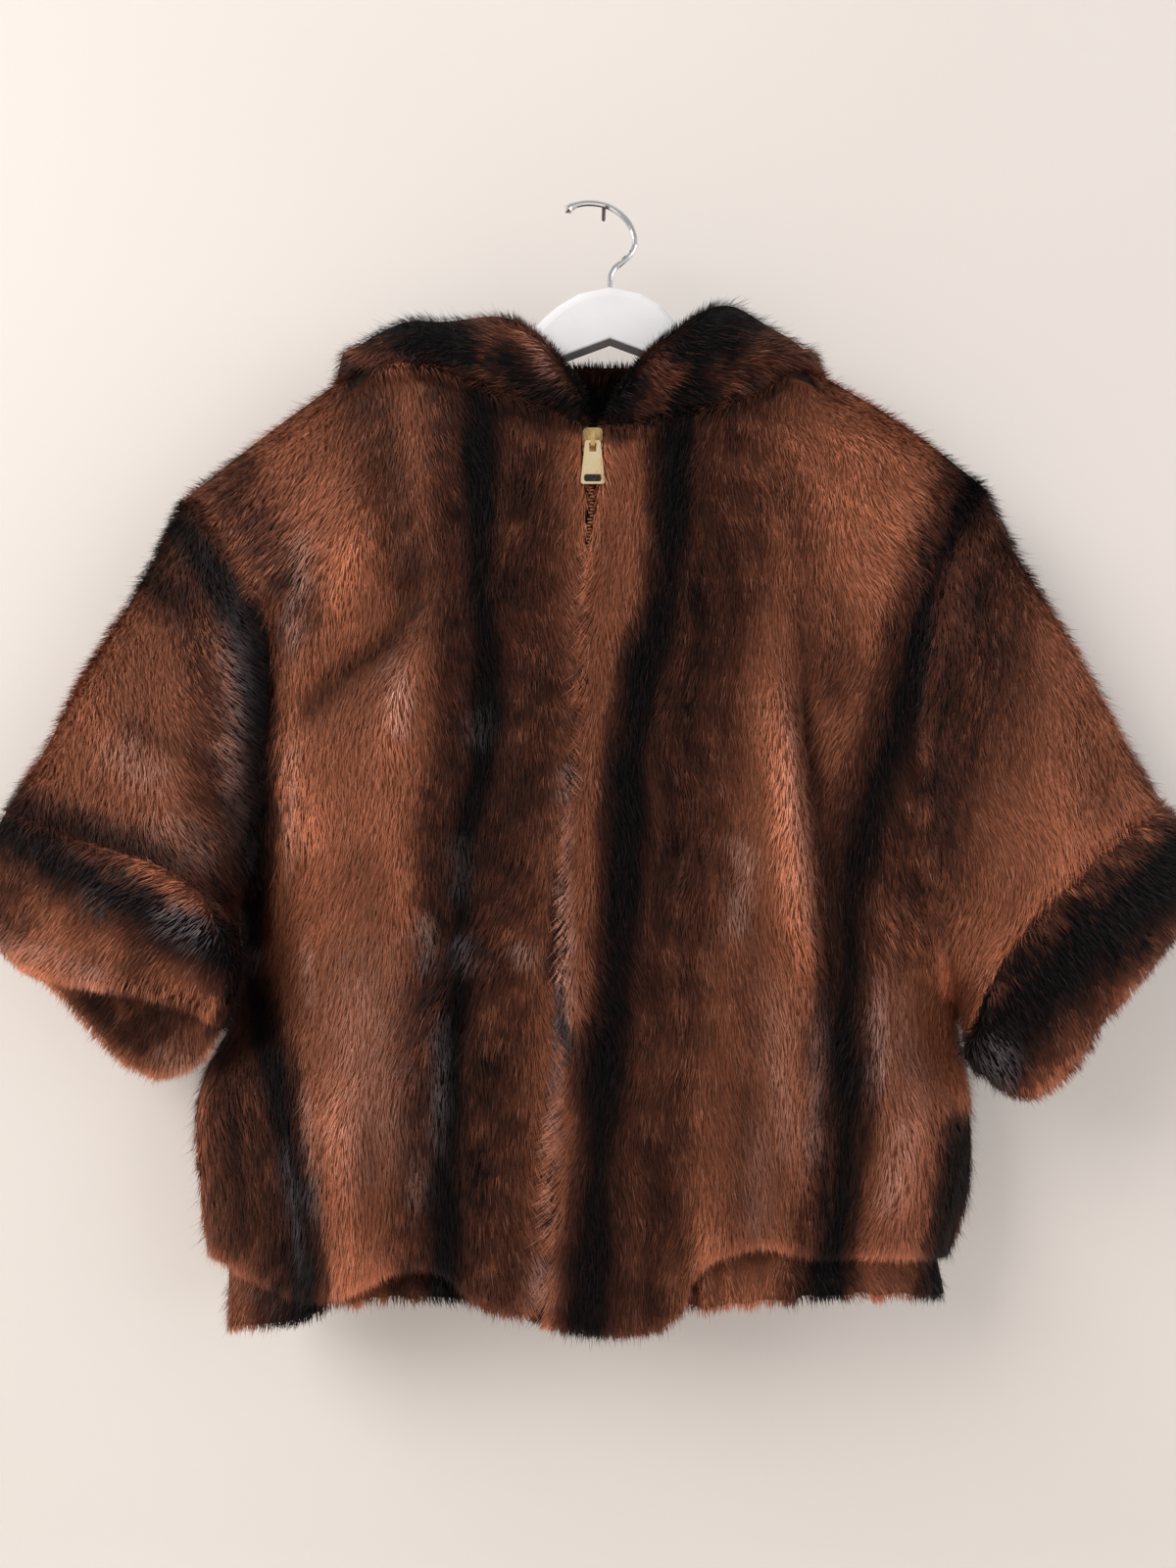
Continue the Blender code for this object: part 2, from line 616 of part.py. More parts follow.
def make_cuff(name, side, lap, look):
    """Turned-up cuff: a bulky tube on the sleeve's end, whose front and back rims hang unevenly."""
    seam = along(side.cuff_seam, ARMHOLE_STEPS)
    outer_fold = along(side.cuff_outer, even(CUFF_CELLS))
    inner_fold = along(side.cuff_inner, even(CUFF_CELLS))
    walls = []
    for facing, rim, folds in ((-1, side.front_rim, FRONT_FOLDS), (1, side.back_rim, BACK_FOLDS)):
        places = patch(seam, along(rim, ARMHOLE_STEPS), outer_fold, inner_fold)
        progress = np.broadcast_to(1 + even(CUFF_CELLS), places.shape[:2])
        depth, normal = sleeve_skin(places, side, lap, progress, facing)
        height = np.array(CUFF_SWELL) + pressed(places, folds)
        from_underarm = nearest(places, spline(side.underarm))[0]
        press = UNDERARM_PRESS * np.exp(-((from_underarm / UNDERARM_WIDTH) ** 2))
        inside = np.minimum(height, np.array(CUFF_SWELL) * 0.5) - np.array(CUFF_WALLS) + press
        walls.append((moved(places, depth, normal, height), moved(places, depth, normal, inside)))
    outer = tube_wall(walls[0][0], walls[1][0])
    inner = tube_wall(walls[0][1], walls[1][1])
    return add_wall(name, outer, inner, look, True, seam_gap(seam))


def hood_front(places, side, fold, up):
    """Depth and normal of the hood from its neck seam (up is 0) to its crest (up is 1)."""
    foot_depth, foot_normal = body_skin(places[:, :1], -1)
    depth, normal = puff(places, [fold], places.reshape(-1, 2).mean(0), -1)
    share = ease(up)
    depth = foot_depth + (depth - foot_depth) * share
    normal = foot_normal + (normal - foot_normal) * share[..., None]
    return depth, normal / np.linalg.norm(normal, axis=-1, keepdims=True)


def hood_back(places, crest):
    """Depth and normal of the hood behind its crest, where it rounds over and hangs as a slack bag."""
    distance, outward = reach(places, [spline(crest)], np.array((0, HOOD_BOTTOM_DROP)))
    sideways = 1 - np.minimum(distance / HOOD_ROUND, 1)
    ahead = np.sqrt(1 - sideways**2)
    low = even(places.shape[0] - 1)[:, None]
    swell = HOOD_BAG_SWELL * (1 - low**2) * ease(distance / 60)
    flat = outward * (sideways / HOOD_ROUND)[..., None]
    normal = np.stack([flat[..., 0], ahead / HOOD_BACK_DEPTH, -flat[..., 1]], -1)
    return HOOD_BACK_DEPTH * ahead + swell, normal / np.linalg.norm(normal, axis=-1, keepdims=True)


def make_hood(name, side, sign, crest, front_edge, look):
    """Half a hood: up from the neck seam, over its crest, and down behind to the middle of the bag."""
    stations, up = even(NECK_CELLS), even(HOOD_FRONT_CELLS)
    neck, top = along(side.neck, stations), along(crest, stations)
    end = (side.neck[-1], crest[-1])
    front = patch(neck, top, along(front_edge, up), along(end, up))
    fold = joined(spline(crest), spline(end[::-1]))
    front_depth, front_normal = hood_front(front, side, fold, up)

    down = even(HOOD_BACK_CELLS) ** 1.7
    across_to_side = np.array((-sign, 1))
    back_edge = [crest[0], *(np.array(HOOD_BACK_EDGE) * across_to_side)]
    outline = [crest[-1], *(np.array(HOOD_OUTLINE) * across_to_side), (0, HOOD_BOTTOM_DROP)]
    middle = along(((0, HOOD_TOP_DROP), (0, HOOD_BOTTOM_DROP)), stations)
    back = patch(top, middle, along(back_edge, down), along(outline, down))
    back_depth, back_normal = hood_back(back, crest)

    places = np.concatenate([front, back[:, 1:]], axis=1)
    depth = np.concatenate([front_depth, back_depth[:, 1:]], axis=1)
    normal = np.concatenate([front_normal, back_normal[:, 1:]], axis=1)
    bulge = np.zeros(places.shape[:2])
    bulge[:, : len(up)] = HOOD_BULGE * np.sin(math.pi * up) * np.minimum(-front_depth[:, :1] / 30, 1)
    outer = moved(places, depth, normal, bulge)
    wall = HOOD_WALL * (1 - 0.5 * stations[:, None] ** 6)
    inner = moved(places, depth, normal, bulge * 0.5 - wall)
    outer[:, 0], inner[:, 0] = body_wall(neck, -1)
    return add_wall(name, outer, inner, look)


def hem_drop(across, facing):
    """Drop of the body's lower edge at each place across."""
    if facing > 0:
        line = back_hem()
    else:
        line = joined(front_hem(RIGHT)[::-1], front_hem(LEFT))
    return np.interp(across, line[:, 0], line[:, 1])


def band_places(start, side, shares):
    """Grid of places for a part of the band, from a place at the hem's level to one of its sides."""
    top, bottom, edge = spline(BAND_TOP), spline(BAND_BOTTOM), fold_lines(side)[1]
    columns = []
    for row in even(BAND_ROWS):
        end = np.interp((1 - row) * BAND_TOP[0][1] + row * edge[-1][1], edge[:, 1], edge[:, 0])
        across = start + (end - start) * shares
        drops = [np.interp(across, line[:, 0], line[:, 1]) for line in (top, bottom)]
        drop = (1 - row) * drops[0] + row * drops[1]
        drop[-1] = (1 - row) * BAND_TOP[0][1] + row * edge[-1][1]
        columns.append(np.stack([across, drop], -1))
    return np.stack(columns, 1)


def make_band(look):
    """Gathered band round the hem: from the zip round the left side, over the back and the right side to the zip."""
    middle = (BACK_HEM[0][0] + BACK_HEM[-1][0]) / 2
    start = CLOSURE[-1][0]
    front_left = band_places(start, LEFT, closing(BAND_FRONT_LEFT_CELLS, 1.25))
    front_right = band_places(start, RIGHT, closing(BAND_FRONT_RIGHT_CELLS, 1.25))
    back_left = band_places(middle, LEFT, closing(BAND_BACK_CELLS, 1.25))
    back_right = band_places(middle, RIGHT, closing(BAND_BACK_CELLS, 1.25))
    round_it = (
        (front_left, -1),
        (back_left[::-1][1:], 1),
        (back_right[1:], 1),
        (front_right[::-1][1:], -1),
    )
    walls = [band_wall(places, facing) for places, facing in round_it]
    outer = np.vstack([wall[0] for wall in walls])
    inner = np.vstack([wall[1] for wall in walls])
    return add_wall("hem_band", outer, inner, look)


def band_wall(places, facing):
    """Outer and inner points of the band: behind the body's edge, then swelling out below it."""
    depth, normal = body_skin(places, facing)
    below = places[..., 1] - hem_drop(places[..., 0], facing)
    shown = ease((below - 4) / 14)
    troughs = np.minimum(pressed(places, FRONT_FOLDS if facing < 0 else BACK_FOLDS), 0)
    inset = (BAND_TUCKED - troughs) * (1 - shown) + BAND_SHOWN * shown
    across = places[..., 0]
    wave = np.cos(2 * math.pi * across / BAND_GATHER + 1.7 * np.sin(across / 41))
    gathers = BAND_GATHER_HEIGHT * (wave - 1) * (0.35 + 0.65 * shown)
    outer = moved(places, depth, normal, gathers - inset)
    inner = moved(places, depth, normal, -inset - BAND_WALL)
    return outer, inner


def zip_line(cells, start_share=0.0):
    """Places down the closure, and how far back the fronts' inside lies there."""
    places = along(CLOSURE, start_share + (1 - start_share) * even(cells))
    depth, normal = body_skin(places, -1)
    drop = places[:, 1]
    press = np.interp(drop, ZIP_EDGE_DROPS, ZIP_EDGE_DIPS) + np.interp(drop, ZIP_EDGE_DROPS, ZIP_EDGE_WALLS)
    return places, depth - normal[:, 1] * press


def add_strip(name, places, depth, low, high, thickness, look):
    """A flat strip down the closure, between two offsets across it."""
    corners = []
    for aside, back in ((low, 0), (high, 0), (high, thickness), (low, thickness)):
        corners.append(to_space(places + np.array((aside, 0)), depth + back))
    points = np.stack(corners, 1)
    count = len(places)
    faces = [[3, 2, 1, 0], [4 * count - 4, 4 * count - 3, 4 * count - 2, 4 * count - 1]]
    for row in range(count - 1):
        for corner in range(4):
            other = (corner + 1) % 4
            faces.append([4 * row + corner, 4 * row + other, 4 * row + 4 + other, 4 * row + 4 + corner])
    made = add_object(name, points.reshape(-1, 3), faces, look)
    turn_outward(made)
    made.data.shade_flat()
    return made


def make_zip(tape_look, metal):
    places, inside = zip_line(ZIP_CELLS)
    face = inside + TAPE_BEHIND
    aside = CHAIN_WIDTH / 2 + TAPE_TO_CHAIN
    add_strip("zip_tape_right", places, face, -aside - TAPE_WIDTH, -aside, TAPE_THICKNESS, tape_look)
    add_strip("zip_tape_left", places, face, aside, aside + TAPE_WIDTH, TAPE_THICKNESS, tape_look)
    share = (SLIDER_TOP + POST_HEIGHT + 3 - CLOSURE[0][1]) / (CLOSURE[-1][1] - CLOSURE[0][1])
    places, inside = zip_line(ZIP_CELLS, share)
    add_strip("zip_chain", places, inside + TAPE_BEHIND, -CHAIN_WIDTH / 2, CHAIN_WIDTH / 2, CHAIN_THICKNESS, metal)


def zip_head():
    """Where the slider sits: across, depth of the tape's face and drop of the slider's top, in space."""
    places, inside = zip_line(1)
    point = to_space(places[0], inside[0] + TAPE_BEHIND)
    top = to_space(np.array((CLOSURE[0][0], SLIDER_TOP)), inside[0] + TAPE_BEHIND)
    return float(point[0]), float(point[1]), float(-top[2])


def add_box(name, low, high, look=None):
    points = [(x, y, z) for x in (low[0], high[0]) for y in (low[1], high[1]) for z in (low[2], high[2])]
    faces = [(0, 1, 3, 2), (4, 6, 7, 5), (0, 4, 5, 1), (2, 3, 7, 6), (0, 2, 6, 4), (1, 5, 7, 3)]
    made = add_object(name, points, faces, look)
    turn_outward(made)
    return made


def add_slab(name, outline, back, front, look):
    """An upright slab: an outline of (across, height) between two depths."""
    count = len(outline)
    points = [(x, y, z) for y in (back, front) for x, z in outline]
    faces = [list(range(count)), list(range(2 * count - 1, count - 1, -1))]
    faces += [[i, (i + 1) % count, count + (i + 1) % count, count + i] for i in range(count)]
    made = add_object(name, points, faces, look)
    turn_outward(made)
    made.data.shade_flat()
    return made


def combine(target, tools, operation):
    """Applies tools to an object, one boolean after another, and removes them."""
    for tool in tools:
        change = target.modifiers.new("combine", "BOOLEAN")
        change.operation = operation
        change.object = tool
        evaluated = target.evaluated_get(bpy.context.evaluated_depsgraph_get())
        mesh = bpy.data.meshes.new_from_object(evaluated)
        target.modifiers.clear()
        target.data = mesh
        bpy.data.objects.remove(tool, do_unlink=True)


def rounded(width, height, radius, centre=(0, 0), steps=4):
    """Outline of a rectangle with round corners."""
    outline = []
    for corner, (right, up) in enumerate(((1, 1), (-1, 1), (-1, -1), (1, -1))):
        for step in range(steps + 1):
            turn = (corner + step / steps) * math.pi / 2
            across = right * (width / 2 - radius) + radius * math.cos(turn)
            rise = up * (height / 2 - radius) + radius * math.sin(turn)
            outline.append((centre[0] + across, centre[1] + rise))
    return outline


def make_slider(metal):
    """Slider: front and back plates on a post at the top, and the crown that carries the pull."""
    across, face, top_drop = zip_head()
    front_face = face - RUNNING_GAP
    middle = (across, -top_drop - SLIDER_HEIGHT / 2)
    plate = rounded(SLIDER_WIDTH, SLIDER_HEIGHT, 2.6, middle)
    slider = add_slab("zip_slider", plate, front_face, front_face - PLATE_THICKNESS, metal)
    back_face = face + TAPE_THICKNESS + RUNNING_GAP
    chain_back = face + CHAIN_THICKNESS + RUNNING_GAP
    back_face = max(back_face, chain_back)
    back_plate = add_slab("back_plate", plate, back_face + BACK_PLATE_THICKNESS, back_face, metal)
    post = add_box(
        "post",
        (across - POST_WIDTH / 2, front_face - 0.5, -top_drop - POST_HEIGHT - 1),
        (across + POST_WIDTH / 2, back_face + 0.5, -top_drop - 1),
    )
    crown_top = -top_drop - 1.2
    crown_foot = crown_top - CROWN_HEIGHT
    plate_front = front_face - PLATE_THICKNESS
    crest = plate_front - CROWN_INSIDE - CROWN_THICKNESS
    crown = add_box(
        "crown",
        (across - CROWN_WIDTH / 2, crest, crown_foot),
        (across + CROWN_WIDTH / 2, plate_front + 0.4, crown_top),
    )
    eye = add_box(
        "eye",
        (across - CROWN_WIDTH, plate_front - CROWN_INSIDE, crown_foot + 1.6),
        (across + CROWN_WIDTH, plate_front, crown_top - 4.6),
    )
    slope = add_slab(
        "slope",
        [(0, 0), (CROWN_THICKNESS + CROWN_INSIDE, 0), (0, -6)],
        -CROWN_WIDTH,
        CROWN_WIDTH,
        metal,
    )
    slope.rotation_euler = (0, 0, math.pi / 2)
    slope.location = np.array((across, crest - 0.01, crown_top + 0.01)) * MM
    bpy.context.view_layer.update()
    combine(crown, [eye, slope], "DIFFERENCE")
    combine(slider, [back_plate, post, crown], "UNION")
    slider.data.shade_flat()
    return slider


def pull_axis():
    """Centre of the pull's bar, in millimetres."""
    across, face, top_drop = zip_head()
    plate_front = face - RUNNING_GAP - PLATE_THICKNESS
    bar_depth = plate_front - CROWN_INSIDE + RUNNING_GAP + PULL_BAR / 2
    bar_height = -top_drop - 1.2 - CROWN_HEIGHT + 1.6 + RUNNING_GAP + PULL_BAR / 2
    return across, bar_depth, bar_height


def make_pull(metal, enamel):
    """Pull tab, hanging by its bar from the crown, with a plain black inlay. Its origin is on the hinge."""
    across, depth, height = pull_axis()
    top = PULL_BAR / 2
    foot = top - PULL_LENGTH
    outline = [
        (-PULL_TOP_WIDTH / 2 + 1, top),
        (PULL_TOP_WIDTH / 2 - 1, top),
        (PULL_TOP_WIDTH / 2, top - 1),
        (PULL_FOOT_WIDTH / 2, foot + 1.2),
        (PULL_FOOT_WIDTH / 2 - 1.2, foot),
        (1.2 - PULL_FOOT_WIDTH / 2, foot),
        (-PULL_FOOT_WIDTH / 2, foot + 1.2),
        (-PULL_TOP_WIDTH / 2, top - 1),
    ]
    half = PULL_THICKNESS / 2
    pull = add_slab("zip_pull", outline, half, -half, metal)
    window = add_box(
        "window",
        (-PULL_WINDOW_WIDTH / 2, -2 * half, -PULL_BAR / 2 - PULL_WINDOW_LENGTH),
        (PULL_WINDOW_WIDTH / 2, 2 * half, -PULL_BAR / 2),
    )
    inlay_middle = (0, foot + INLAY_UP)
    recess = add_slab(
        "recess", rounded(INLAY_WIDTH + 0.7, INLAY_HEIGHT + 0.7, 1.6, inlay_middle), -half + INLAY_DEPTH, -2 * half, metal
    )
    combine(pull, [window, recess], "DIFFERENCE")
    pull.data.shade_flat()
    inlay = add_slab(
        "pull_inlay",
        rounded(INLAY_WIDTH, INLAY_HEIGHT, 1.4, inlay_middle),
        -half + INLAY_DEPTH - 0.3,
        -half,
        enamel,
    )
    for piece in (pull, inlay):
        piece.location = np.array((across, depth, height)) * MM


def make_hanger(look):
    """White hanger: a flat board with round-topped arms that lie under the shoulders."""
    ends = []
    for side in (RIGHT, LEFT):
        shoulder = spline(side.shoulder)
        inside = np.abs(shoulder[:, 0] - HANGER_MIDDLE) < HANGER_REACH
        _, outward = reach(shoulder, BODY_FOLDS, BODY_CENTRE)
        ends.append((shoulder - outward * (BODY_WALL + HANGER_SEAT_GAP))[inside][::5])
    top = [*ends[0][:0:-1], *HANGER_DOME, *ends[1][1:]]
    outline = [(across, -drop) for across, drop in [*top, *HANGER_UNDERSIDE]]
    board = bmesh.new()
    half = HANGER_THICKNESS / 2
    corners = [board.verts.new((across * MM, half * MM, height * MM)) for across, height in outline]
    face = board.faces.new(corners)
    out = bmesh.ops.extrude_face_region(board, geom=[face])
    shifted = [item for item in out["geom"] if isinstance(item, bmesh.types.BMVert)]
    bmesh.ops.translate(board, verts=shifted, vec=(0, -HANGER_THICKNESS * MM, 0))
    board.verts.index_update()
    count = len(top)
    for first, last, radius, steps in ((0, count - 1, HANGER_TOP_ROUND, 4), (count, len(outline) - 1, HANGER_FOOT_ROUND, 2)):
        places = {tuple(np.round(place, 3)) for place in outline[first : last + 1]}
        board.edges.ensure_lookup_table()
        chosen = [
            edge
            for edge in board.edges
            if abs(edge.verts[0].co.y - edge.verts[1].co.y) < 1e-6
            and all(tuple(np.round((v.co.x / MM, v.co.z / MM), 3)) in places for v in edge.verts)
        ]
        bmesh.ops.bevel(board, geom=chosen, offset=radius * MM, segments=steps, affect="EDGES", profile=0.5)
    bmesh.ops.recalc_face_normals(board, faces=board.faces)
    mesh = bpy.data.meshes.new("hanger")
    board.to_mesh(mesh)
    board.free()
    mesh.materials.append(look)
    hanger = bpy.data.objects.new("hanger", mesh)
    bpy.context.scene.collection.objects.link(hanger)
    bore = add_tube("bore", ((HANGER_MIDDLE, 40), (HANGER_MIDDLE, 51.5 + HOOK_DEPTH)), [HOOK_BORE / 2] * 2, 12, look)
    combine(hanger, [bore], "DIFFERENCE")
    return hanger


def add_tube(name, path, radii, sides, look):
    """A round bar through places of (across, drop) in the hanger's plane, with a radius at each."""
    line = np.array([(across, 0, -drop) for across, drop in path], float)
    ways = np.gradient(line, axis=0)
    ways /= np.linalg.norm(ways, axis=-1, keepdims=True)
    points = []
    for centre, way, radius in zip(line, ways, radii):
        aside = np.cross(way, (0, 1, 0))
        for step in range(sides):
            turn = 2 * math.pi * step / sides
            points.append(centre + radius * (aside * math.cos(turn) + np.array((0, 1, 0)) * math.sin(turn)))
    count = len(path)
    faces = [list(range(sides)), list(range(count * sides - 1, (count - 1) * sides - 1, -1))]
    for ring in range(count - 1):
        for step in range(sides):
            other = (step + 1) % sides
            here, there = ring * sides, (ring + 1) * sides
            faces.append([here + step, here + other, there + other, there + step])
    made = add_object(name, points, faces, look)
    turn_outward(made)
    return made


def make_hook(steel):
    """Bent wire hook with a ball on its tip, standing in the hanger's bore."""
    path = spline(HOOK_PATH, spacing=2.6)
    run = np.r_[0, np.cumsum(np.linalg.norm(np.diff(path, axis=0), axis=1))]
    ball = HOOK_BALL / 2
    bulb = np.sqrt(np.maximum(ball**2 - (run - ball) ** 2, 0.3))
    radii = np.where(run < ball, bulb, np.maximum(bulb, HOOK_WIRE / 2))
    return add_tube("hanger_hook", path, radii, 10, steel)


def main():
    for old in list(bpy.data.objects):
        bpy.data.objects.remove(old, do_unlink=True)
    fur = material("fur", (0.19, 0.08, 0.045), 0.8)
    tape = material("zip_tape", (0.03, 0.02, 0.018), 0.9)
    brass = material("brass", (0.83, 0.62, 0.32), 0.25, 1.0)
    enamel = material("black_inlay", (0.01, 0.01, 0.01), 0.4)
    white = material("white_hanger", (0.85, 0.84, 0.83), 0.4)
    steel = material("steel_hook", (0.6, 0.6, 0.6), 0.3, 1.0)
    make_front("front_right", RIGHT, -1, fur)
    make_front("front_left", LEFT, 1, fur)
    make_back(fur)
    make_sleeve("sleeve_right", RIGHT, RIGHT_LAP, fur)
    make_sleeve("sleeve_left", LEFT, LEFT_LAP, fur)
    make_cuff("cuff_right", RIGHT, RIGHT_LAP, fur)
    make_cuff("cuff_left", LEFT, LEFT_LAP, fur)
    make_hood("hood_right", RIGHT, -1, RIGHT_CREST, RIGHT_FRONT_EDGE, fur)
    make_hood("hood_left", LEFT, 1, LEFT_CREST, LEFT_FRONT_EDGE, fur)
    make_band(fur)
    make_zip(tape, brass)
    make_slider(brass)
    make_pull(brass, enamel)
    make_hanger(white)
    make_hook(steel)


main()
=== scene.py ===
import bpy
import math
import numpy as np
from mathutils.bvhtree import BVHTree
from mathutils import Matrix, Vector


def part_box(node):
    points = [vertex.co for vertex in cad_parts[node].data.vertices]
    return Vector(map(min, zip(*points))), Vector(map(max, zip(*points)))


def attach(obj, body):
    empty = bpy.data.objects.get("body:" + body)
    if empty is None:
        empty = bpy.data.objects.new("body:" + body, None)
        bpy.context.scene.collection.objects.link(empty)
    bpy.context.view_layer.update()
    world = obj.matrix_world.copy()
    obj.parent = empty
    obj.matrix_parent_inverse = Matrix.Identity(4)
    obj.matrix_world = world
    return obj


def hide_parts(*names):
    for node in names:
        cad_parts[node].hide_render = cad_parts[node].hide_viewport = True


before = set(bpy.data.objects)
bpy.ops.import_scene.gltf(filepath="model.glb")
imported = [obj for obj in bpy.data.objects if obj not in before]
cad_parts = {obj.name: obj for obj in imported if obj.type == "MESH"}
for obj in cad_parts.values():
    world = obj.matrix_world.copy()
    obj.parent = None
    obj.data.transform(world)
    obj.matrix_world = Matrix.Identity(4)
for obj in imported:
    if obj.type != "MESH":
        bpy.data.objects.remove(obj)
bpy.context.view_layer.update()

MM = 0.001
bpy.ops.object.select_all(action="DESELECT")

# --- Camera -----------------------------------------------------------------------------------
# A phone camera square to the wall, level with the jacket's chest. Its distance is from the hanger's plane.
# Lengths are in mm all through: across to the right, drop down from the hook's bearing point.
EYE_DISTANCE = 722
EYE_ACROSS = -10
EYE_DROP = 367.5
FRAME_SIZE = 36
LENS_LENGTH = 26

bpy.ops.object.camera_add(
    location=(EYE_ACROSS * MM, -EYE_DISTANCE * MM, -EYE_DROP * MM), rotation=(math.radians(90), 0, 0)
)
camera = bpy.context.object
camera.data.sensor_fit = "VERTICAL"
camera.data.sensor_width = FRAME_SIZE
camera.data.sensor_height = FRAME_SIZE
camera.data.lens = LENS_LENGTH
camera.data.clip_start = 10 * MM
bpy.context.scene.camera = camera


# --- Wall, floor and pin: the stage --------------------------------------------------------------
# A smooth cream wall that rounds into a pale floor. It is clear from behind, so that the back can be seen.
# The hook hangs on a small steel pin driven into it.
WALL_BACK = 68
WALL_TOP = 1400
WALL_HALF_WIDTH = 2600
FLOOR_DROP = 1150
FLOOR_FRONT = 2400
SWEEP = 260
SWEEP_STEPS = 12
PIN_RADIUS = 1.2
PIN_LENGTH = 14
PIN_BACK = 2
PIN_DROP = 3.2


def plain_material(name, colour, roughness, specular=0.5):
    """A material with one shader; returns it with its node tree and that shader."""
    material = bpy.data.materials.new(name)
    material.use_nodes = True
    shader = material.node_tree.nodes["Principled BSDF"]
    shader.inputs["Base Color"].default_value = (*colour, 1)
    shader.inputs["Roughness"].default_value = roughness
    shader.inputs["Specular IOR Level"].default_value = specular
    return material, material.node_tree, shader


def add_noise(tree, scale, detail=4):
    """A noise on Object coordinates; returns its factor."""
    place = tree.nodes.new("ShaderNodeTexCoord")
    noise = tree.nodes.new("ShaderNodeTexNoise")
    noise.inputs["Scale"].default_value = scale
    noise.inputs["Detail"].default_value = detail
    noise.inputs["Roughness"].default_value = 0.6
    tree.links.new(place.outputs["Object"], noise.inputs["Vector"])
    return noise.outputs["Fac"]


def ramp(tree, factor, stops):
    """Colours set out along a factor; stops has (position, colour)."""
    node = tree.nodes.new("ShaderNodeValToRGB")
    while len(node.color_ramp.elements) < len(stops):
        node.color_ramp.elements.new(0.5)
    for element, (position, colour) in zip(node.color_ramp.elements, stops):
        element.position = position
        element.color = (*colour, 1)
    tree.links.new(factor, node.inputs["Fac"])
    return node.outputs["Color"]


def add_bump(tree, shader, factor, strength, distance):
    """Small unevenness of the surface, with distance in metres."""
    bump = tree.nodes.new("ShaderNodeBump")
    bump.inputs["Strength"].default_value = strength
    bump.inputs["Distance"].default_value = distance
    tree.links.new(factor, bump.inputs["Height"])
    tree.links.new(bump.outputs["Normal"], shader.inputs["Normal"])


wall_paint, tree, shader = plain_material("wall_paint", (0.8, 0.75, 0.7), 0.9, 0.2)
tone = ramp(tree, add_noise(tree, 1.3, 2), ((0.3, (0.78, 0.73, 0.68)), (0.7, (0.82, 0.77, 0.72))))
tree.links.new(tone, shader.inputs["Base Color"])
add_bump(tree, shader, add_noise(tree, 240, 3), 0.12, 0.0004)
facing = tree.nodes.new("ShaderNodeNewGeometry")
clear = tree.nodes.new("ShaderNodeBsdfTransparent")
either = tree.nodes.new("ShaderNodeMixShader")
tree.links.new(facing.outputs["Backfacing"], either.inputs["Fac"])
tree.links.new(shader.outputs["BSDF"], either.inputs[1])
tree.links.new(clear.outputs["BSDF"], either.inputs[2])
tree.links.new(either.outputs["Shader"], tree.nodes["Material Output"].inputs["Surface"])

profile = [(WALL_BACK, WALL_TOP)]
for step in range(SWEEP_STEPS + 1):
    turn = math.radians(90 * step / SWEEP_STEPS)
    profile.append((WALL_BACK - SWEEP * (1 - math.cos(turn)), -FLOOR_DROP + SWEEP * (1 - math.sin(turn))))
profile.append((-FLOOR_FRONT, -FLOOR_DROP))
wall_points = [(x * MM, y * MM, z * MM) for y, z in profile for x in (-WALL_HALF_WIDTH, WALL_HALF_WIDTH)]
wall_faces = [(2 * row, 2 * row + 1, 2 * row + 3, 2 * row + 2) for row in range(len(profile) - 1)]
wall_mesh = bpy.data.meshes.new("wall")
wall_mesh.from_pydata(wall_points, [], wall_faces)
wall_mesh.flip_normals()
wall_mesh.shade_smooth()
wall_mesh.materials.append(wall_paint)
wall = bpy.data.objects.new("wall", wall_mesh)
bpy.context.collection.objects.link(wall)

bpy.ops.mesh.primitive_cylinder_add(
    vertices=20, radius=PIN_RADIUS * MM, depth=PIN_LENGTH * MM,
    location=(0, PIN_BACK * MM, -PIN_DROP * MM), rotation=(math.radians(90), 0, 0),
)
pin = bpy.context.object
pin.name = "pin"
pin_steel, tree, shader = plain_material("pin_steel", (0.12, 0.1, 0.09), 0.4)
shader.inputs["Metallic"].default_value = 1
pin.data.materials.append(pin_steel)
bpy.ops.object.select_all(action="DESELECT")


# --- Light ------------------------------------------------------------------------------------------
# Soft daylight: a wide window light from the upper left, a weaker one from the right, and a pale room.
# Places are in metres and powers in watts.
JACKET_MIDDLE = (0, 0, -0.35)
ROOM_COLOUR = (0.92, 0.93, 0.96, 1)
ROOM_STRENGTH = 0.46


def add_soft_light(name, place, aim, size, power, colour):
    """A rectangular area light that looks from its place at its aim."""
    bpy.ops.object.light_add(type="AREA", location=place)
    light = bpy.context.object
    light.name = name
    light.data.shape = "RECTANGLE"
    light.data.size, light.data.size_y = size
    light.data.energy = power
    light.data.color = colour
    way = np.subtract(aim, place)
    flat = math.hypot(way[0], way[1])
    light.rotation_euler = (math.atan2(flat, -way[2]), 0, math.atan2(-way[0], way[1]))


add_soft_light("window", (-1.7, -1.6, 0.9), JACKET_MIDDLE, (1.5, 1.5), 50, (1.0, 0.955, 0.93))
add_soft_light("room_side", (1.9, -1.5, 0.1), JACKET_MIDDLE, (1.6, 2.0), 17, (0.97, 0.96, 1.0))
world = bpy.data.worlds.new("room")
world.use_nodes = True
world.node_tree.nodes["Background"].inputs["Color"].default_value = ROOM_COLOUR
world.node_tree.nodes["Background"].inputs["Strength"].default_value = ROOM_STRENGTH
bpy.context.scene.world = world
bpy.context.scene.view_settings.view_transform = "Standard"
bpy.ops.object.select_all(action="DESELECT")


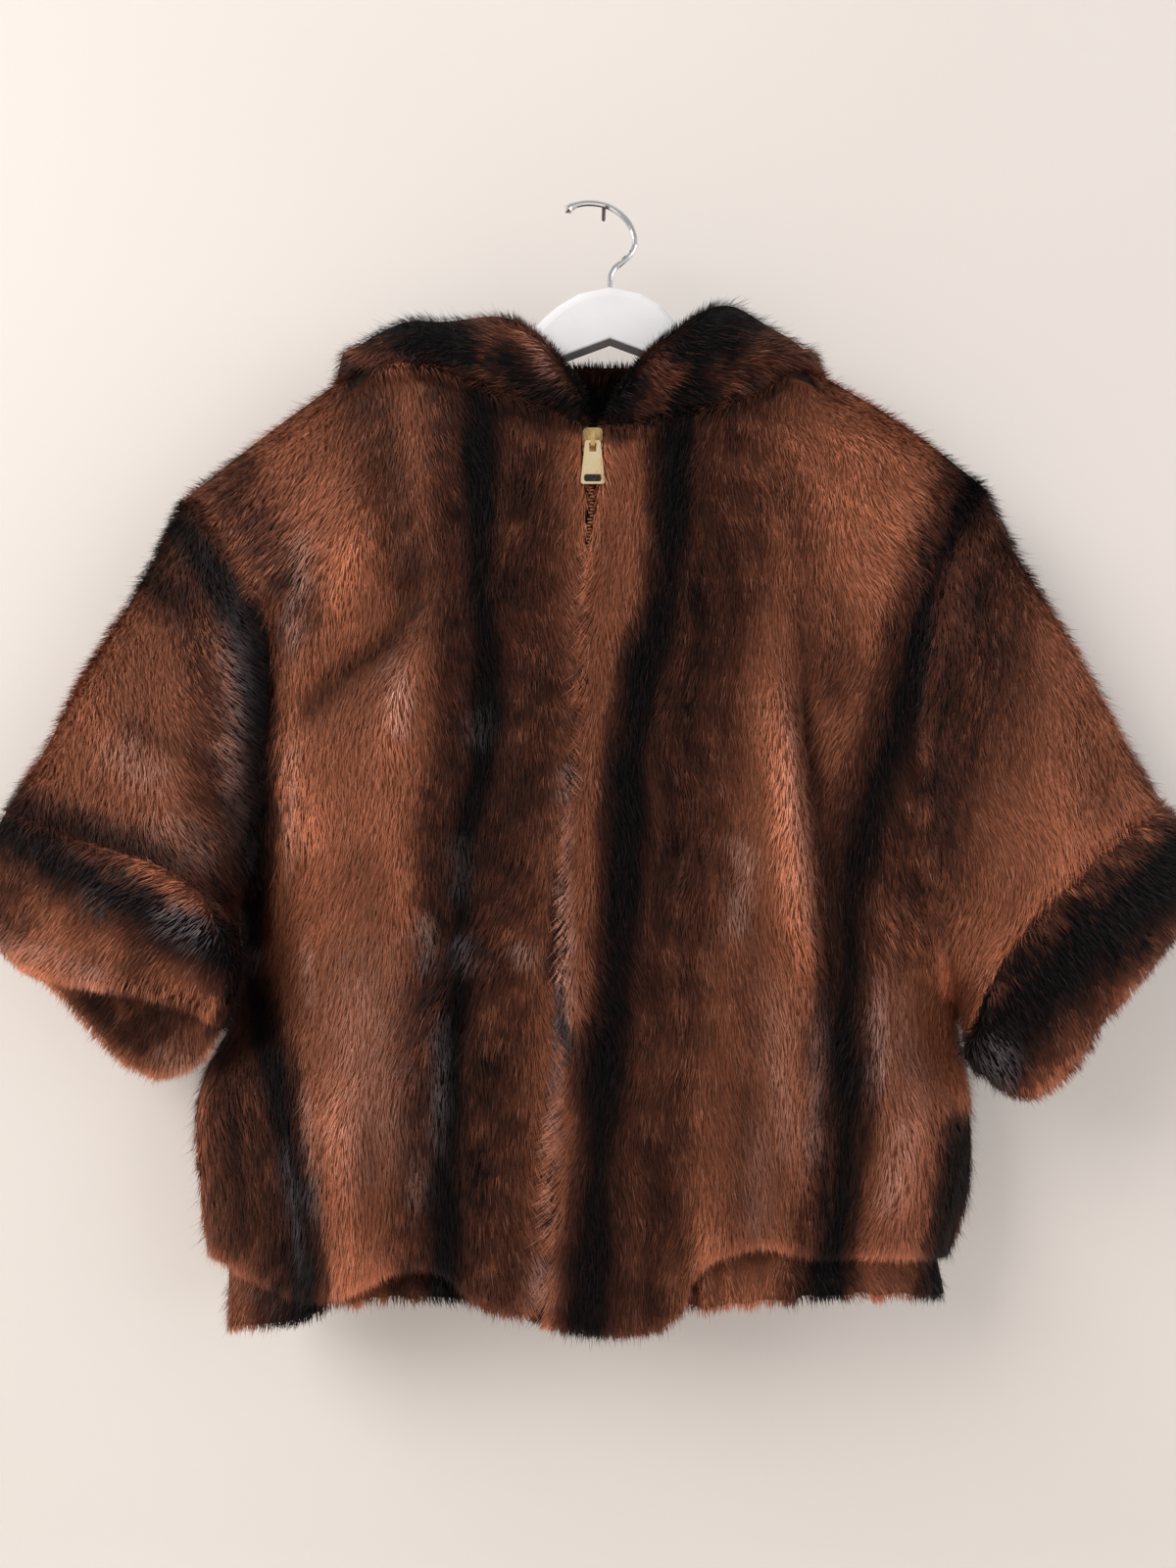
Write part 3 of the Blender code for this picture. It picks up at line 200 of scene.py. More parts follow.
# --- Hanger -----------------------------------------------------------------------------------------
# A plain white hanger: a flat shaped board in smooth satin paint. It carries the shoulders from inside, so
# only its crown shows between the hood's sides. The solid has its shape and keeps it.
white_paint, tree, shader = plain_material("white_hanger_paint", (0.86, 0.85, 0.85), 0.28)
tone = ramp(tree, add_noise(tree, 22, 3), ((0.35, (0.82, 0.81, 0.81)), (0.65, (0.88, 0.87, 0.87))))
tree.links.new(tone, shader.inputs["Base Color"])
add_bump(tree, shader, add_noise(tree, 160, 4), 0.06, 0.0003)


def refinish(node, material):
    """A CAD node whose shape is right keeps it and gets its finish here."""
    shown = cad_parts[node]
    for place in shown.material_slots:
        place.material = material
    if not shown.material_slots:
        shown.data.materials.append(material)


refinish("hanger", white_paint)


# --- Hook -------------------------------------------------------------------------------------------
# Polished steel wire with a small ball at its tip, screwed into the hanger's crown. It hangs on the pin at
# the object's origin.
hook_steel, tree, shader = plain_material("hook_steel", (0.8, 0.8, 0.8), 0.16)
shader.inputs["Metallic"].default_value = 1
tone = ramp(tree, add_noise(tree, 90, 3), ((0.3, (0.74, 0.74, 0.74)), (0.7, (0.86, 0.85, 0.84))))
tree.links.new(tone, shader.inputs["Base Color"])
refinish("hanger_hook", hook_steel)


# --- Back -------------------------------------------------------------------------------------------
# One panel of faux fur: pile on a knitted ground, running down, over a plain dark lining, in soft creases.
# What every furred panel needs is made here too: the ground cloth, which keeps its solid's form but lies
# lower by the depth of the pile, and the pile itself, in hairs that lie over one another.
def loose_to_whole(points, faces):
    """Joins the doubled corners of a mesh of loose triangles."""
    keys = np.round(points * 1e5).astype(np.int64)
    _, first, place = np.unique(keys, axis=0, return_index=True, return_inverse=True)
    faces = place.reshape(-1)[faces]
    good = (faces[:, 0] != faces[:, 1]) & (faces[:, 1] != faces[:, 2]) & (faces[:, 2] != faces[:, 0])
    return points[first], faces[good]


def face_vectors(points, faces):
    """Each face's normal, as long as twice its area."""
    a, b, c = (points[faces[:, corner]] for corner in range(3))
    return np.cross(b - a, c - a)


def unit(vectors):
    return vectors / np.maximum(np.linalg.norm(vectors, axis=-1, keepdims=True), 1e-12)


def corner_normals(points, faces):
    """Each corner's normal, from the faces that are given."""
    total = np.zeros_like(points)
    across = face_vectors(points, faces)
    for corner in range(3):
        np.add.at(total, faces[:, corner], across)
    return unit(total)


def split_once(points, faces):
    """Each triangle becomes four, with its new corners at the middles of its sides."""
    sides = np.sort(np.concatenate([faces[:, [0, 1]], faces[:, [1, 2]], faces[:, [2, 0]]]), axis=1)
    whole, place = np.unique(sides, axis=0, return_inverse=True)
    middles = points[whole].mean(axis=1)
    ab, bc, ca = (len(points) + part for part in np.split(place.reshape(-1), 3))
    a, b, c = faces.T
    parts = [(a, ab, ca), (ab, b, bc), (ca, bc, c), (ab, bc, ca)]
    return np.concatenate([points, middles]), np.concatenate([np.stack(part, axis=1) for part in parts])


def relaxed(points, faces, share):
    """Moves each corner part of the way to the middle of its neighbours, which rounds the split faces."""
    total, count = np.zeros_like(points), np.zeros(len(points))
    for one, two in ((0, 1), (1, 2), (2, 0), (1, 0), (2, 1), (0, 2)):
        np.add.at(total, faces[:, one], points[faces[:, two]])
        np.add.at(count, faces[:, one], 1)
    return points + share * (total / count[:, None] - points)


def node_form(node):
    """The corners and triangles of a CAD node's solid."""
    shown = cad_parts[node].data
    points = np.empty(len(shown.vertices) * 3)
    shown.vertices.foreach_get("co", points)
    shown.calc_loop_triangles()
    faces = np.empty(len(shown.loop_triangles) * 3, np.int64)
    shown.loop_triangles.foreach_get("vertices", faces)
    return loose_to_whole(points.reshape(-1, 3), faces.reshape(-1, 3))


def in_picture(points):
    """Across and drop in mm on the hanger's plane, as the camera sees a point in front of it."""
    points = points / MM
    grow = EYE_DISTANCE / (EYE_DISTANCE + np.minimum(points[:, 1], 0))
    across = EYE_ACROSS + (points[:, 0] - EYE_ACROSS) * grow
    drop = EYE_DROP + (-points[:, 2] - EYE_DROP) * grow
    return np.stack([across, drop], axis=1)


def from_line(places, line):
    """From each place to a line of (across, drop) points: the distance in mm, the share of the line's length
    there, and whether the place is on the right as the line runs down."""
    line = np.array(line, float)
    best, share, right = np.full(len(places), 1e9), np.zeros(len(places)), np.zeros(len(places), bool)
    lengths = np.linalg.norm(np.diff(line, axis=0), axis=1)
    starts = np.concatenate([[0], np.cumsum(lengths)])
    for step in range(len(line) - 1):
        way = line[step + 1] - line[step]
        along = np.clip((places - line[step]) @ way / (way @ way), 0, 1)
        away = np.linalg.norm(places - line[step] - along[:, None] * way, axis=1)
        nearer = away < best
        best = np.where(nearer, away, best)
        share = np.where(nearer, (starts[step] + along * lengths[step]) / starts[-1], share)
        off = places - line[step]
        right = np.where(nearer, way[1] * off[:, 0] > way[0] * off[:, 1], right)
    return best, share, right


def eased(value, low, high):
    """0 below low and 1 above high, with a soft start and end between them."""
    part = np.clip((value - low) / (high - low), 0, 1)
    return part * part * (3 - 2 * part)


TAPER = 0.3


def tapered(share, past):
    """1 along the middle of a line, and less towards its ends, to 0 a little past them."""
    return eased(share, -past, TAPER) * (1 - eased(share, 1 - TAPER, 1 + past))


WAVE_COUNT = 9


def waves(points, size, seed):
    """A smooth uneven field from about -1 to 1 with humps about size mm wide."""
    random = np.random.default_rng(seed)
    ways = random.normal(size=(WAVE_COUNT, 3))
    ways = unit(ways) * random.uniform(0.6, 1.5, (WAVE_COUNT, 1)) * math.pi / size
    phases = random.uniform(0, 2 * math.pi, WAVE_COUNT)
    total = np.zeros(len(points))
    for way, phase in zip(ways, phases):
        total += np.sin(points / MM @ way + phase)
    return total / math.sqrt(WAVE_COUNT) / 0.9


def creased(points, normals, creases, outside):
    """Lifts or sinks the whole wall along soft creases, its inside with its outside. Rows: line, half width,
    height in mm (below 0 for a trough)."""
    places = in_picture(points)
    height = np.zeros(len(points))
    for line, width, tall in creases:
        away, share, _ = from_line(places, line)
        height += tall * np.exp(-((away / width) ** 2)) * tapered(share, 0.02)
    return points + normals * (height * np.where(outside, 1, -1) * MM)[:, None]


RELIEF_STEPS = 24
RELIEF_SHARE = 0.6
DEEPEST_RELIEF = 7


def relief(points, faces, normals):
    """How far each corner stands above the smoothed panel, in mm: below 0 in a fold's trough."""
    smooth = points
    for _ in range(RELIEF_STEPS):
        smooth = relaxed(smooth, faces, RELIEF_SHARE)
    height = ((points - smooth) * normals).sum(axis=1) / MM
    return np.clip(height, -DEEPEST_RELIEF, DEEPEST_RELIEF)


# The fur's colours and the colours of its painted sheen, how a stripe's edges and a sheen mark wander, how
# dark its flanks are, and how all of it is mottled
CHESTNUT = np.array((0.325, 0.108, 0.053))
DARK_BROWN = np.array((0.080, 0.025, 0.013))
NEAR_BLACK = np.array((0.0016, 0.0012, 0.0015))
PAINTED_SHEEN = np.array((0.66, 0.37, 0.29))
PAINTED_SHEEN_ON_BLACK = np.array((0.15, 0.125, 0.13))
FLANK_DEPTH = 0.56
FLANK_STARTS = 0.3
CORE_EDGES = (-5, 7)
STRIPE_WANDERS = (2.5, 3)
CORE_WANDERS = 1.2
SHEEN_WANDERS = 1.5
MOTTLE_SIZES = (4.5, 14, 55)
BASE_MOTTLE = (0.03, 0.04, 0.05)
FLANK_MOTTLE = (0.09, 0.08)


def pile_colour(points, stripes, sheen_marks, base, mottle, seed):
    """Darkness from 0, chestnut, to 1, black, and painted sheen from 0 to 1, at each point. A stripe is a
    black core with a dark flank on each side; a row whose core is below 0 is a dark patch without a core,
    which the fronts use as painted shade."""
    places = in_picture(points)
    fine, broad, wide = (waves(points, size, seed + step) for step, size in enumerate(MOTTLE_SIZES))
    flanks, cores = np.zeros(len(points)), np.zeros(len(points))
    for line, core, left_flank, right_flank, depth in stripes:
        away, _, right = from_line(places, line)
        away = away + STRIPE_WANDERS[0] * broad + STRIPE_WANDERS[1] * wide
        flank = np.where(right, right_flank, left_flank)
        flanks = np.maximum(flanks, depth * (1 - eased(away, core + FLANK_STARTS * flank, core + flank)))
        inner, outer = core + CORE_EDGES[0], core + CORE_EDGES[1]
        cores = np.maximum(cores, depth * (1 - eased(away + CORE_WANDERS * fine, inner, outer)))
    dark = base + mottle * (BASE_MOTTLE[0] * fine + BASE_MOTTLE[1] * broad + BASE_MOTTLE[2] * wide)
    dark = dark + flanks * (FLANK_DEPTH + FLANK_MOTTLE[0] * fine + FLANK_MOTTLE[1] * broad)
    dark = dark + (1 - dark) * cores
    # Painted sheen: pale streaks along the listed lines, where the pile catches the light on folds and edges.
    painted_sheen = np.zeros(len(points))
    for line, width, strength in sheen_marks:
        away, share, _ = from_line(places, line)
        spread = np.exp(-(((away + SHEEN_WANDERS * broad) / width) ** 2))
        painted_sheen = np.maximum(painted_sheen, strength * spread * tapered(share, 0.01) * (0.8 + 0.2 * fine))
    return np.clip(dark, 0, 1), np.clip(painted_sheen, 0, 1)


def mixed(dark, painted_sheen):
    """Pile colour: chestnut to brown to black by darkness, and then towards pale silver by painted sheen."""
    low, high = np.clip(dark * 2, 0, 1)[:, None], np.clip(dark * 2 - 1, 0, 1)[:, None]
    colour = CHESTNUT + (DARK_BROWN - CHESTNUT) * low
    colour = colour + (NEAR_BLACK - colour) * high
    painted_sheen_colour = PAINTED_SHEEN_ON_BLACK + (PAINTED_SHEEN - PAINTED_SHEEN_ON_BLACK) * (1 - eased(dark, 0.3, 0.9))[:, None]
    return colour + (painted_sheen_colour - colour) * painted_sheen[:, None]


def look_of_fur(name, roughness, sheen, fleck):
    """Fur colour from the mesh's own attribute, with a fine fleck along it."""
    material, tree, shader = plain_material(name, (0.2, 0.07, 0.04), roughness, 0.1)
    shader.inputs["Sheen Weight"].default_value = sheen
    shader.inputs["Sheen Roughness"].default_value = 0.35
    shader.inputs["Sheen Tint"].default_value = (0.95, 0.85, 0.85, 1)
    colour = tree.nodes.new("ShaderNodeAttribute")
    colour.attribute_name = "fur_colour"
    spots = ramp(tree, add_noise(tree, fleck, 3), ((0.3, (0.72, 0.72, 0.72)), (0.7, (1, 1, 1))))
    mix = tree.nodes.new("ShaderNodeMix")
    mix.data_type = "RGBA"
    mix.blend_type = "MULTIPLY"
    mix.inputs["Factor"].default_value = 1
    tree.links.new(colour.outputs["Color"], mix.inputs["A"])
    tree.links.new(spots, mix.inputs["B"])
    tree.links.new(mix.outputs["Result"], shader.inputs["Base Color"])
    return material


fur_ground = look_of_fur("fur_ground", 0.9, 0.0, 420)
fur_pile = look_of_fur("fur_pile", 0.5, 0.025, 260)


def make_mesh(name, points, faces, colours, material):
    """A smooth mesh with its colour on its corners."""
    mesh = bpy.data.meshes.new(name)
    mesh.vertices.add(len(points))
    mesh.vertices.foreach_set("co", points.astype(np.float32).ravel())
    mesh.loops.add(faces.size)
    mesh.loops.foreach_set("vertex_index", faces.astype(np.int32).ravel())
    mesh.polygons.add(len(faces))
    mesh.polygons.foreach_set("loop_start", np.arange(0, faces.size, 3, dtype=np.int32))
    mesh.update(calc_edges=True)
    attribute = mesh.attributes.new("fur_colour", "FLOAT_COLOR", "POINT")
    colours = np.concatenate([colours, np.ones((len(colours), 1))], axis=1)
    attribute.data.foreach_set("color", colours.astype(np.float32).ravel())
    mesh.materials.append(material)
    mesh.shade_smooth()
    made = bpy.data.objects.new(name, mesh)
    bpy.context.collection.objects.link(made)
    return made


def strand_map(mesh, count):
    """A map with a cell of its own for each hair, so that a bake finds room for it."""
    cells = math.ceil(math.sqrt(count))
    corner = np.array([[0.1, 0.5], [0.5, 0.1], [0.5, 0.9], [0.5, 0.1], [0.9, 0.5], [0.5, 0.9]])
    number = np.arange(count)
    start = np.stack([number % cells, number // cells], axis=1)
    places = (start[:, None] + corner[None]) / cells
    layer = mesh.uv_layers.new(name="OFBake")
    layer.data.foreach_set("uv", places.astype(np.float32).ravel())


# Pile hairs, the longer and thinner guard hairs among them, and the fringe that stands out at the outline
PILE_LENGTH = 11.5
PILE_WIDTH = 0.56
GUARD_LENGTH = 16
GUARD_WIDTH = 0.3
GUARD_SHARE = 0.12
GUARD_LIFT = 22
FRINGE_SHARE = 0.3
FRINGE_WIDTH = 0.38
FRINGE_LENGTH = 1.05
FRINGE_LIFT = (40, 78)
FRINGE_FACING = 0.5
FRINGE_DARK = 0.45
ROOT_DEPTH = 1.7
BEND_AT = 0.36
BEND_BELOW = 0.28
BEND_ABOVE = 0.24
LOWER_LIFTS = (0.1, 1.35)
UPPER_LIFTS = (0.02, 1.2)
LENGTHS = (0.72, 1.08)
WIDTHS = (0.35, 0.65)

# How the hairs crowd: at the rims, at the outline, and where the comb points into or out of the cloth
RIM_DENSITY = 2.0
EDGE_DENSITY = 1.4
BLIND_DENSITY = 2.2
BLIND_LIFT = 42
BLIND_SHORTER = 0.35
TURNED_FROM_EYE = 0.25

# How the hairs stray from the comb, in radians, and how their lift wanders, in degrees
SWAY, SWAY_SIZE = 0.30, 62
LOCK, LOCK_SIZE = 0.06, 13
LEAN, LEAN_SIZE = 3, 15
STRAY, GUARD_STRAY, LIFT_STRAY = 0.11, 0.18, 4
ROLL = 0.3

# How the hairs are shaded: against each other at random; by the folds' relief, as painted shade in troughs
# and painted highlight on ridges; by painted sheen along middle and tip; from root to tip; and by form or
# facing.
# A random few have pale tips in the sheen's colour, partly pale-tipped hairs and partly painted glints.
LIGHT_TIPS = 0.12
LIGHT_AMOUNTS = (0.1, 0.4)
DARK_STRAY = 0.05
TONE_STRAY = 0.10
RELIEF_SHADE_AND_HIGHLIGHT = 0.12
MIDDLE_SHEEN = 0.8
TIP_SHEEN = 1.3
ROOT_TONE = 0.55
TIP_TONE = 1.15
FORM_SHARE = 0.55


def grow_pile(
    name, points, faces, normals, heights, furred, weight, count, comb, colouring, seed,
    length, lift, far_share,
):
    """Hairs on the furred faces. Each is two narrow triangles that meet at its bend and taper from there."""
    random = np.random.default_rng(seed)
    faces = faces[furred]
    across = face_vectors(points, faces)
    facing_way, middles = unit(across), points[faces].mean(axis=1)
    blind = np.abs((comb(middles) * facing_way).sum(axis=1))
    far = np.where(facing_way[:, 1] > TURNED_FROM_EYE, far_share, 1)
    area = np.linalg.norm(across, axis=1) * weight[furred] * far
    area = area * (1 + EDGE_DENSITY * (1 - np.abs(facing_way[:, 1])) ** 2 + BLIND_DENSITY * blind**3)
    edges = np.cumsum(area)
    pick = np.searchsorted(edges, (np.arange(count) + random.random(count)) / count * edges[-1])
    pick = np.clip(pick, 0, len(faces) - 1)
    u, v = random.random(count), random.random(count)
    over = u + v > 1
    u[over], v[over] = 1 - u[over], 1 - v[over]
    weights = np.stack([1 - u - v, u, v], axis=1)[:, :, None]
    roots = (points[faces[pick]] * weights).sum(axis=1)
    ups = unit((normals[faces[pick]] * weights).sum(axis=1))

    guard = random.random(count) < GUARD_SHARE
    sway = waves(roots, SWAY_SIZE, seed + 11)
    lock = waves(roots, LOCK_SIZE, seed + 12)
    lean = waves(roots, LEAN_SIZE, seed + 13)
    way = unit(comb(roots))
    blind = np.abs((way * ups).sum(axis=1))
    fringe = (np.abs(ups[:, 1]) < FRINGE_FACING) & (random.random(count) < FRINGE_SHARE)
    way = unit(way - (way * ups).sum(axis=1, keepdims=True) * ups)
    side = np.cross(ups, way)
    turn = SWAY * sway + LOCK * lock + random.normal(0, STRAY, count)
    turn = turn + guard * random.normal(0, GUARD_STRAY, count)
    way, side = (
        way * np.cos(turn)[:, None] + side * np.sin(turn)[:, None],
        side * np.cos(turn)[:, None] - way * np.sin(turn)[:, None],
    )
    tall = lift + LEAN * lean + random.normal(0, LIFT_STRAY, count)
    tall = tall + guard * random.uniform(0, GUARD_LIFT, count)
    tall = np.radians(tall) + np.radians(BLIND_LIFT) * blind**2
    tall = np.where(fringe, np.radians(random.uniform(*FRINGE_LIFT, count)), tall)
    long = np.where(guard, GUARD_LENGTH, PILE_LENGTH) * length * random.uniform(*LENGTHS, count) * MM
    long = long * (1 - BLIND_SHORTER * blind**2) * np.where(fringe, FRINGE_LENGTH, 1)
    first, last = np.clip(tall + BEND_BELOW, *LOWER_LIFTS), np.clip(tall - BEND_ABOVE, *UPPER_LIFTS)

    def leg(angle, share):
        return (way * np.cos(angle)[:, None] + ups * np.sin(angle)[:, None]) * (long * share)[:, None]

    roots = roots - ups * (ROOT_DEPTH * MM)
    middle = roots + leg(first, BEND_AT)
    tips = middle + leg(last, 1 - BEND_AT)
    roll = random.normal(0, ROLL, count)
    broad = unit(side * np.cos(roll)[:, None] + ups * np.sin(roll)[:, None])
    thick = np.where(fringe, FRINGE_WIDTH, np.where(guard, GUARD_WIDTH, PILE_WIDTH))
    half = broad * (thick * random.uniform(*WIDTHS, count) * MM)[:, None]

    corners = np.stack([roots, middle - half, middle + half, tips], axis=1)
    dark, painted_sheen = colouring(roots)
    dark = np.clip(dark + random.normal(0, DARK_STRAY, count), 0, 1)
    # A random few hairs get pale tips in the painted sheen's colour: partly pale-tipped hairs, partly painted
    # glints of single hairs.
    light = random.random(count) < LIGHT_TIPS
    light = np.where(light, random.uniform(*LIGHT_AMOUNTS, count) * (1 - 0.8 * dark), 0)
    streak = 0.3 + 0.7 * random.random(count)
    dark = np.where(fringe, np.maximum(dark, FRINGE_DARK), dark)
    # Painted sheen goes on the middle of each hair and more strongly on its tip.
    colour = mixed(dark, painted_sheen * streak * MIDDLE_SHEEN)
    tips_colour = mixed(dark, np.clip(painted_sheen * streak * TIP_SHEEN + light, 0, 1))
    # Painted shade and highlight: darker where the fold's relief sinks, lighter where it stands up, with a
    # random tone on top.
    tone = (heights[faces[pick]] * weights[:, :, 0]).sum(axis=1)
    tone = np.exp(RELIEF_SHADE_AND_HIGHLIGHT * tone + random.normal(0, TONE_STRAY, count))[:, None]
    colour, tips_colour = colour * tone, tips_colour * tone
    middle_colour = 0.5 * (colour + tips_colour)
    colours = np.stack([ROOT_TONE * colour, middle_colour, middle_colour, TIP_TONE * tips_colour], axis=1)

    start = 4 * np.arange(count)[:, None]
    both = np.concatenate([start + np.array([0, 1, 2]), start + np.array([1, 3, 2])], axis=1)
    pile = make_mesh(name, corners.reshape(-1, 3), both.reshape(-1, 3), colours.reshape(-1, 3), fur_pile)
    strand_map(pile.data, count)
    facing = unit(np.cross(way, broad))
    facing = facing * np.sign((facing * ups).sum(axis=1, keepdims=True))
    shown = unit(FORM_SHARE * ups + (1 - FORM_SHARE) * facing)
    pile.data.normals_split_custom_set_from_vertices(np.repeat(shown, 4, axis=0).tolist())
    return pile


# How far the ground lies under its solid's surface, and at most this share of the wall; how far its rims
# swell, how much its faces are rounded, and how much darker it is than the pile
PILE_SINK = 3.8
SINK_OF_WALL = 0.42
RIM_SWELL = 1.0
RIM_SHARPNESS = 0.88
ROUNDING = 0.35
GROUND_TONE = 0.75

# The wall's other side is looked for this far, from just under the surface. Where none is found, the wall
# counts as a usual one.
THICKEST_WALL = 30
SKIN = 0.2
UNSEEN_WALL = 20


def wall_thickness(points, faces, normals):
    """The depth of the wall under each corner, in metres."""
    tree = BVHTree.FromPolygons(points.tolist(), faces.tolist())
    depth = np.full(len(points), UNSEEN_WALL * MM)
    for number, (point, normal) in enumerate(zip(points, normals)):
        start = point - normal * (SKIN * MM)
        place, _, _, distance = tree.ray_cast(start.tolist(), (-normal).tolist(), THICKEST_WALL * MM)
        if place is not None:
            depth[number] = distance + SKIN * MM
    return depth


def rim_corners(points, faces):
    """True at the corners of a wall's sharp rims, where the faces that meet differ most."""
    total, count = np.zeros_like(points), np.zeros(len(points))
    across = unit(face_vectors(points, faces))
    for corner in range(3):
        np.add.at(total, faces[:, corner], across)
        np.add.at(count, faces[:, corner], 1)
    return np.linalg.norm(total, axis=1) < RIM_SHARPNESS * count


# The line of (across, drop) where the fronts meet over the zip, and how wide and how far down it stays bare
CLOSURE = ((-7, 139), (-8, 190), (-16, 305), (-25, 410), (-28, 500), (-34, 610), (-44, 706))
BARE_WIDTH = 4.5
BARE_DROP = 240
BARE_DEPTH = -20


def off_closure(seen):
    """How far the closure lies to the right of each place."""
    path = np.array(CLOSURE, float)
    return np.interp(seen[:, 1], path[:, 1], path[:, 0]) - seen[:, 0]


def beside_teeth(points):
    """True along the open top of the zip, where no pile stands in the teeth's way."""
    seen = in_picture(points)
    near = (np.abs(off_closure(seen)) < BARE_WIDTH) & (seen[:, 1] < BARE_DROP)
    return near & (points[:, 1] < BARE_DEPTH * MM)


def corners_of(points, faces):
    """True at the corners of these faces."""
    found = np.zeros(len(points), bool)
    found[faces.ravel()] = True
    return found


def make_panel(
    node, outside, stripes, sheen_marks, creases, comb, hairs, seed,
    length=1.0, lift=26, far_share=1.0, base=0.08, mottle=1.0,
):
    """A furred panel in place of its solid: the ground cloth, sunk by the depth of the pile, and the pile.
    Length is a share of the usual hair's, lift its angle off the cloth in degrees, and far_share how much
    pile grows on the side that faces the wall. Base is how dark plain pile is, and mottle how uneven."""
    points, faces = node_form(node)
    normals = corner_normals(points, faces)
    depth = wall_thickness(points, faces, normals)
    across = unit(face_vectors(points, faces))
    furred = outside(points[faces].mean(axis=1), across)
    rim = rim_corners(points, faces)
    furred = furred | (rim[faces].all(axis=1) & ~beside_teeth(points[faces].mean(axis=1)))
    carries_pile = corners_of(points, faces[furred])
    sink = np.where(carries_pile, np.minimum(PILE_SINK * MM, SINK_OF_WALL * depth), 0)
    sink = np.where(rim, np.where(beside_teeth(points), 0, -RIM_SWELL * MM), sink)
    points = points - normals * sink[:, None]
    weight = np.where(rim[faces].any(axis=1), RIM_DENSITY, 1)

    points, faces = split_once(points, faces)
    furred, weight = np.tile(furred, 4), np.tile(weight, 4)
    points = relaxed(points, faces, ROUNDING)
    normals = corner_normals(points, faces)
    points = creased(points, normals, creases, corners_of(points, faces[furred]))
    normals = corner_normals(points, faces)

    def colouring(places):
        return pile_colour(places, stripes, sheen_marks, base, mottle, seed)

    dark, painted_sheen = colouring(points)
    cloth = make_mesh(node + "_cloth", points, faces, GROUND_TONE * mixed(dark, 0 * painted_sheen), fur_ground)
    cloth.data.materials.append(lining)
    slots = np.where(furred, 0, 1).astype(np.int32)
    cloth.data.polygons.foreach_set("material_index", slots)
    heights = relief(points, faces, normals)
    normals = corner_normals(points, faces[furred])
    pile = grow_pile(
        node + "_pile", points, faces, normals, heights, furred, weight, hairs, comb, colouring, seed + 50,
        length, lift, far_share,
    )
    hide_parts(node)
    for made in (cloth, pile):
        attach(made, "jacket")


# The lining is plain dark cloth, with a little weave in it
lining, tree, shader = plain_material("lining", (0.03, 0.018, 0.014), 0.75, 0.1)
tone = ramp(tree, add_noise(tree, 60, 4), ((0.3, (0.022, 0.013, 0.01)), (0.7, (0.04, 0.024, 0.018))))
tree.links.new(tone, shader.inputs["Base Color"])
add_bump(tree, shader, add_noise(tree, 900, 2), 0.2, 0.0002)

# The middle of the torso, from edge to edge and from drop to drop, and the facing inside the neck
TORSO_DEPTH = -8
TORSO_EDGES = (-190, 170)
TORSO_DROPS = (250, 640)
THROAT_WIDTH = 75
THROAT_DROP = 185


def outside_of_torso(places, across):
    """True where a face looks away from the middle of the torso."""
    across_there = np.clip(places[:, 0], TORSO_EDGES[0] * MM, TORSO_EDGES[1] * MM)
    up_there = np.clip(places[:, 2], -TORSO_DROPS[1] * MM, -TORSO_DROPS[0] * MM)
    middle = np.stack([across_there, np.full(len(places), TORSO_DEPTH * MM), up_there], axis=1)
    return ((places - middle) * across).sum(axis=1) > 0


def outside_and_throat(places, across):
    """The outside of the back, and the facing of dark fur inside its neck."""
    throat = (np.abs(places[:, 0]) < THROAT_WIDTH * MM) & (places[:, 2] > -THROAT_DROP * MM)
    return outside_of_torso(places, across) | throat


def comb_down(places):
    """Pile that runs straight down."""
    way = np.zeros_like(places)
    way[:, 2] = -1
    return way


# Stripes: line of (across, drop), core half width, widths of the left and right flanks, depth of colour.
# Sheen marks, which are painted sheen: line, half width, strength. Creases: line, half width, height, which
# is below 0 for a trough.
BACK_STRIPES = (
    (((-178, 150), (-184, 300), (-190, 430), (-196, 560), (-206, 690)), 9, 30, 42, 1.0),
    (((-46, 160), (-50, 240), (-47, 420), (-52, 560), (-56, 700)), 9, 32, 50, 1.0),
    (((84, 160), (86, 250), (88, 400), (82, 560), (78, 700)), 9, 30, 46, 1.0),
    (((214, 170), (206, 300), (200, 450), (206, 600), (210, 700)), 9, 34, 30, 1.0),
    (((-70, 108), (-30, 120), (20, 120), (70, 108)), 16, 16, 16, 1.0),
)
# Painted sheen: pale streaks where the pile catches the light.
BACK_SHEEN_MARKS = (
    (((-128, 300), (-132, 420), (-126, 520)), 10, 0.45),
    (((24, 360), (30, 460), (22, 600)), 9, 0.4),
    (((150, 250), (146, 380)), 10, 0.35),
)
# At the sides the cloth stands out, so that body and cuffs meet as they do when they hang
SIDE_CREASES = (
    (((-224, 370), (-222, 443), (-222, 474), (-228, 500), (-244, 540)), 10, 8.0),
    (((214, 470), (217, 520), (222, 550), (232, 585)), 8, 4.5),
)
BACK_CREASES = SIDE_CREASES + (
    (((-118, 330), (-126, 430), (-120, 560)), 14, -4.0),
    (((-96, 360), (-102, 470), (-98, 600)), 12, 3.0),
    (((20, 300), (14, 410), (22, 520)), 13, -3.5),
    (((46, 420), (52, 520), (44, 640)), 12, 3.0),
    (((130, 260), (118, 380), (126, 470)), 15, -4.5),
    (((-20, 560), (-26, 620), (-22, 680)), 8, -3.0),
)
make_panel(
    "back", outside_and_throat, BACK_STRIPES, BACK_SHEEN_MARKS, BACK_CREASES, comb_down, hairs=52000, seed=100,
)


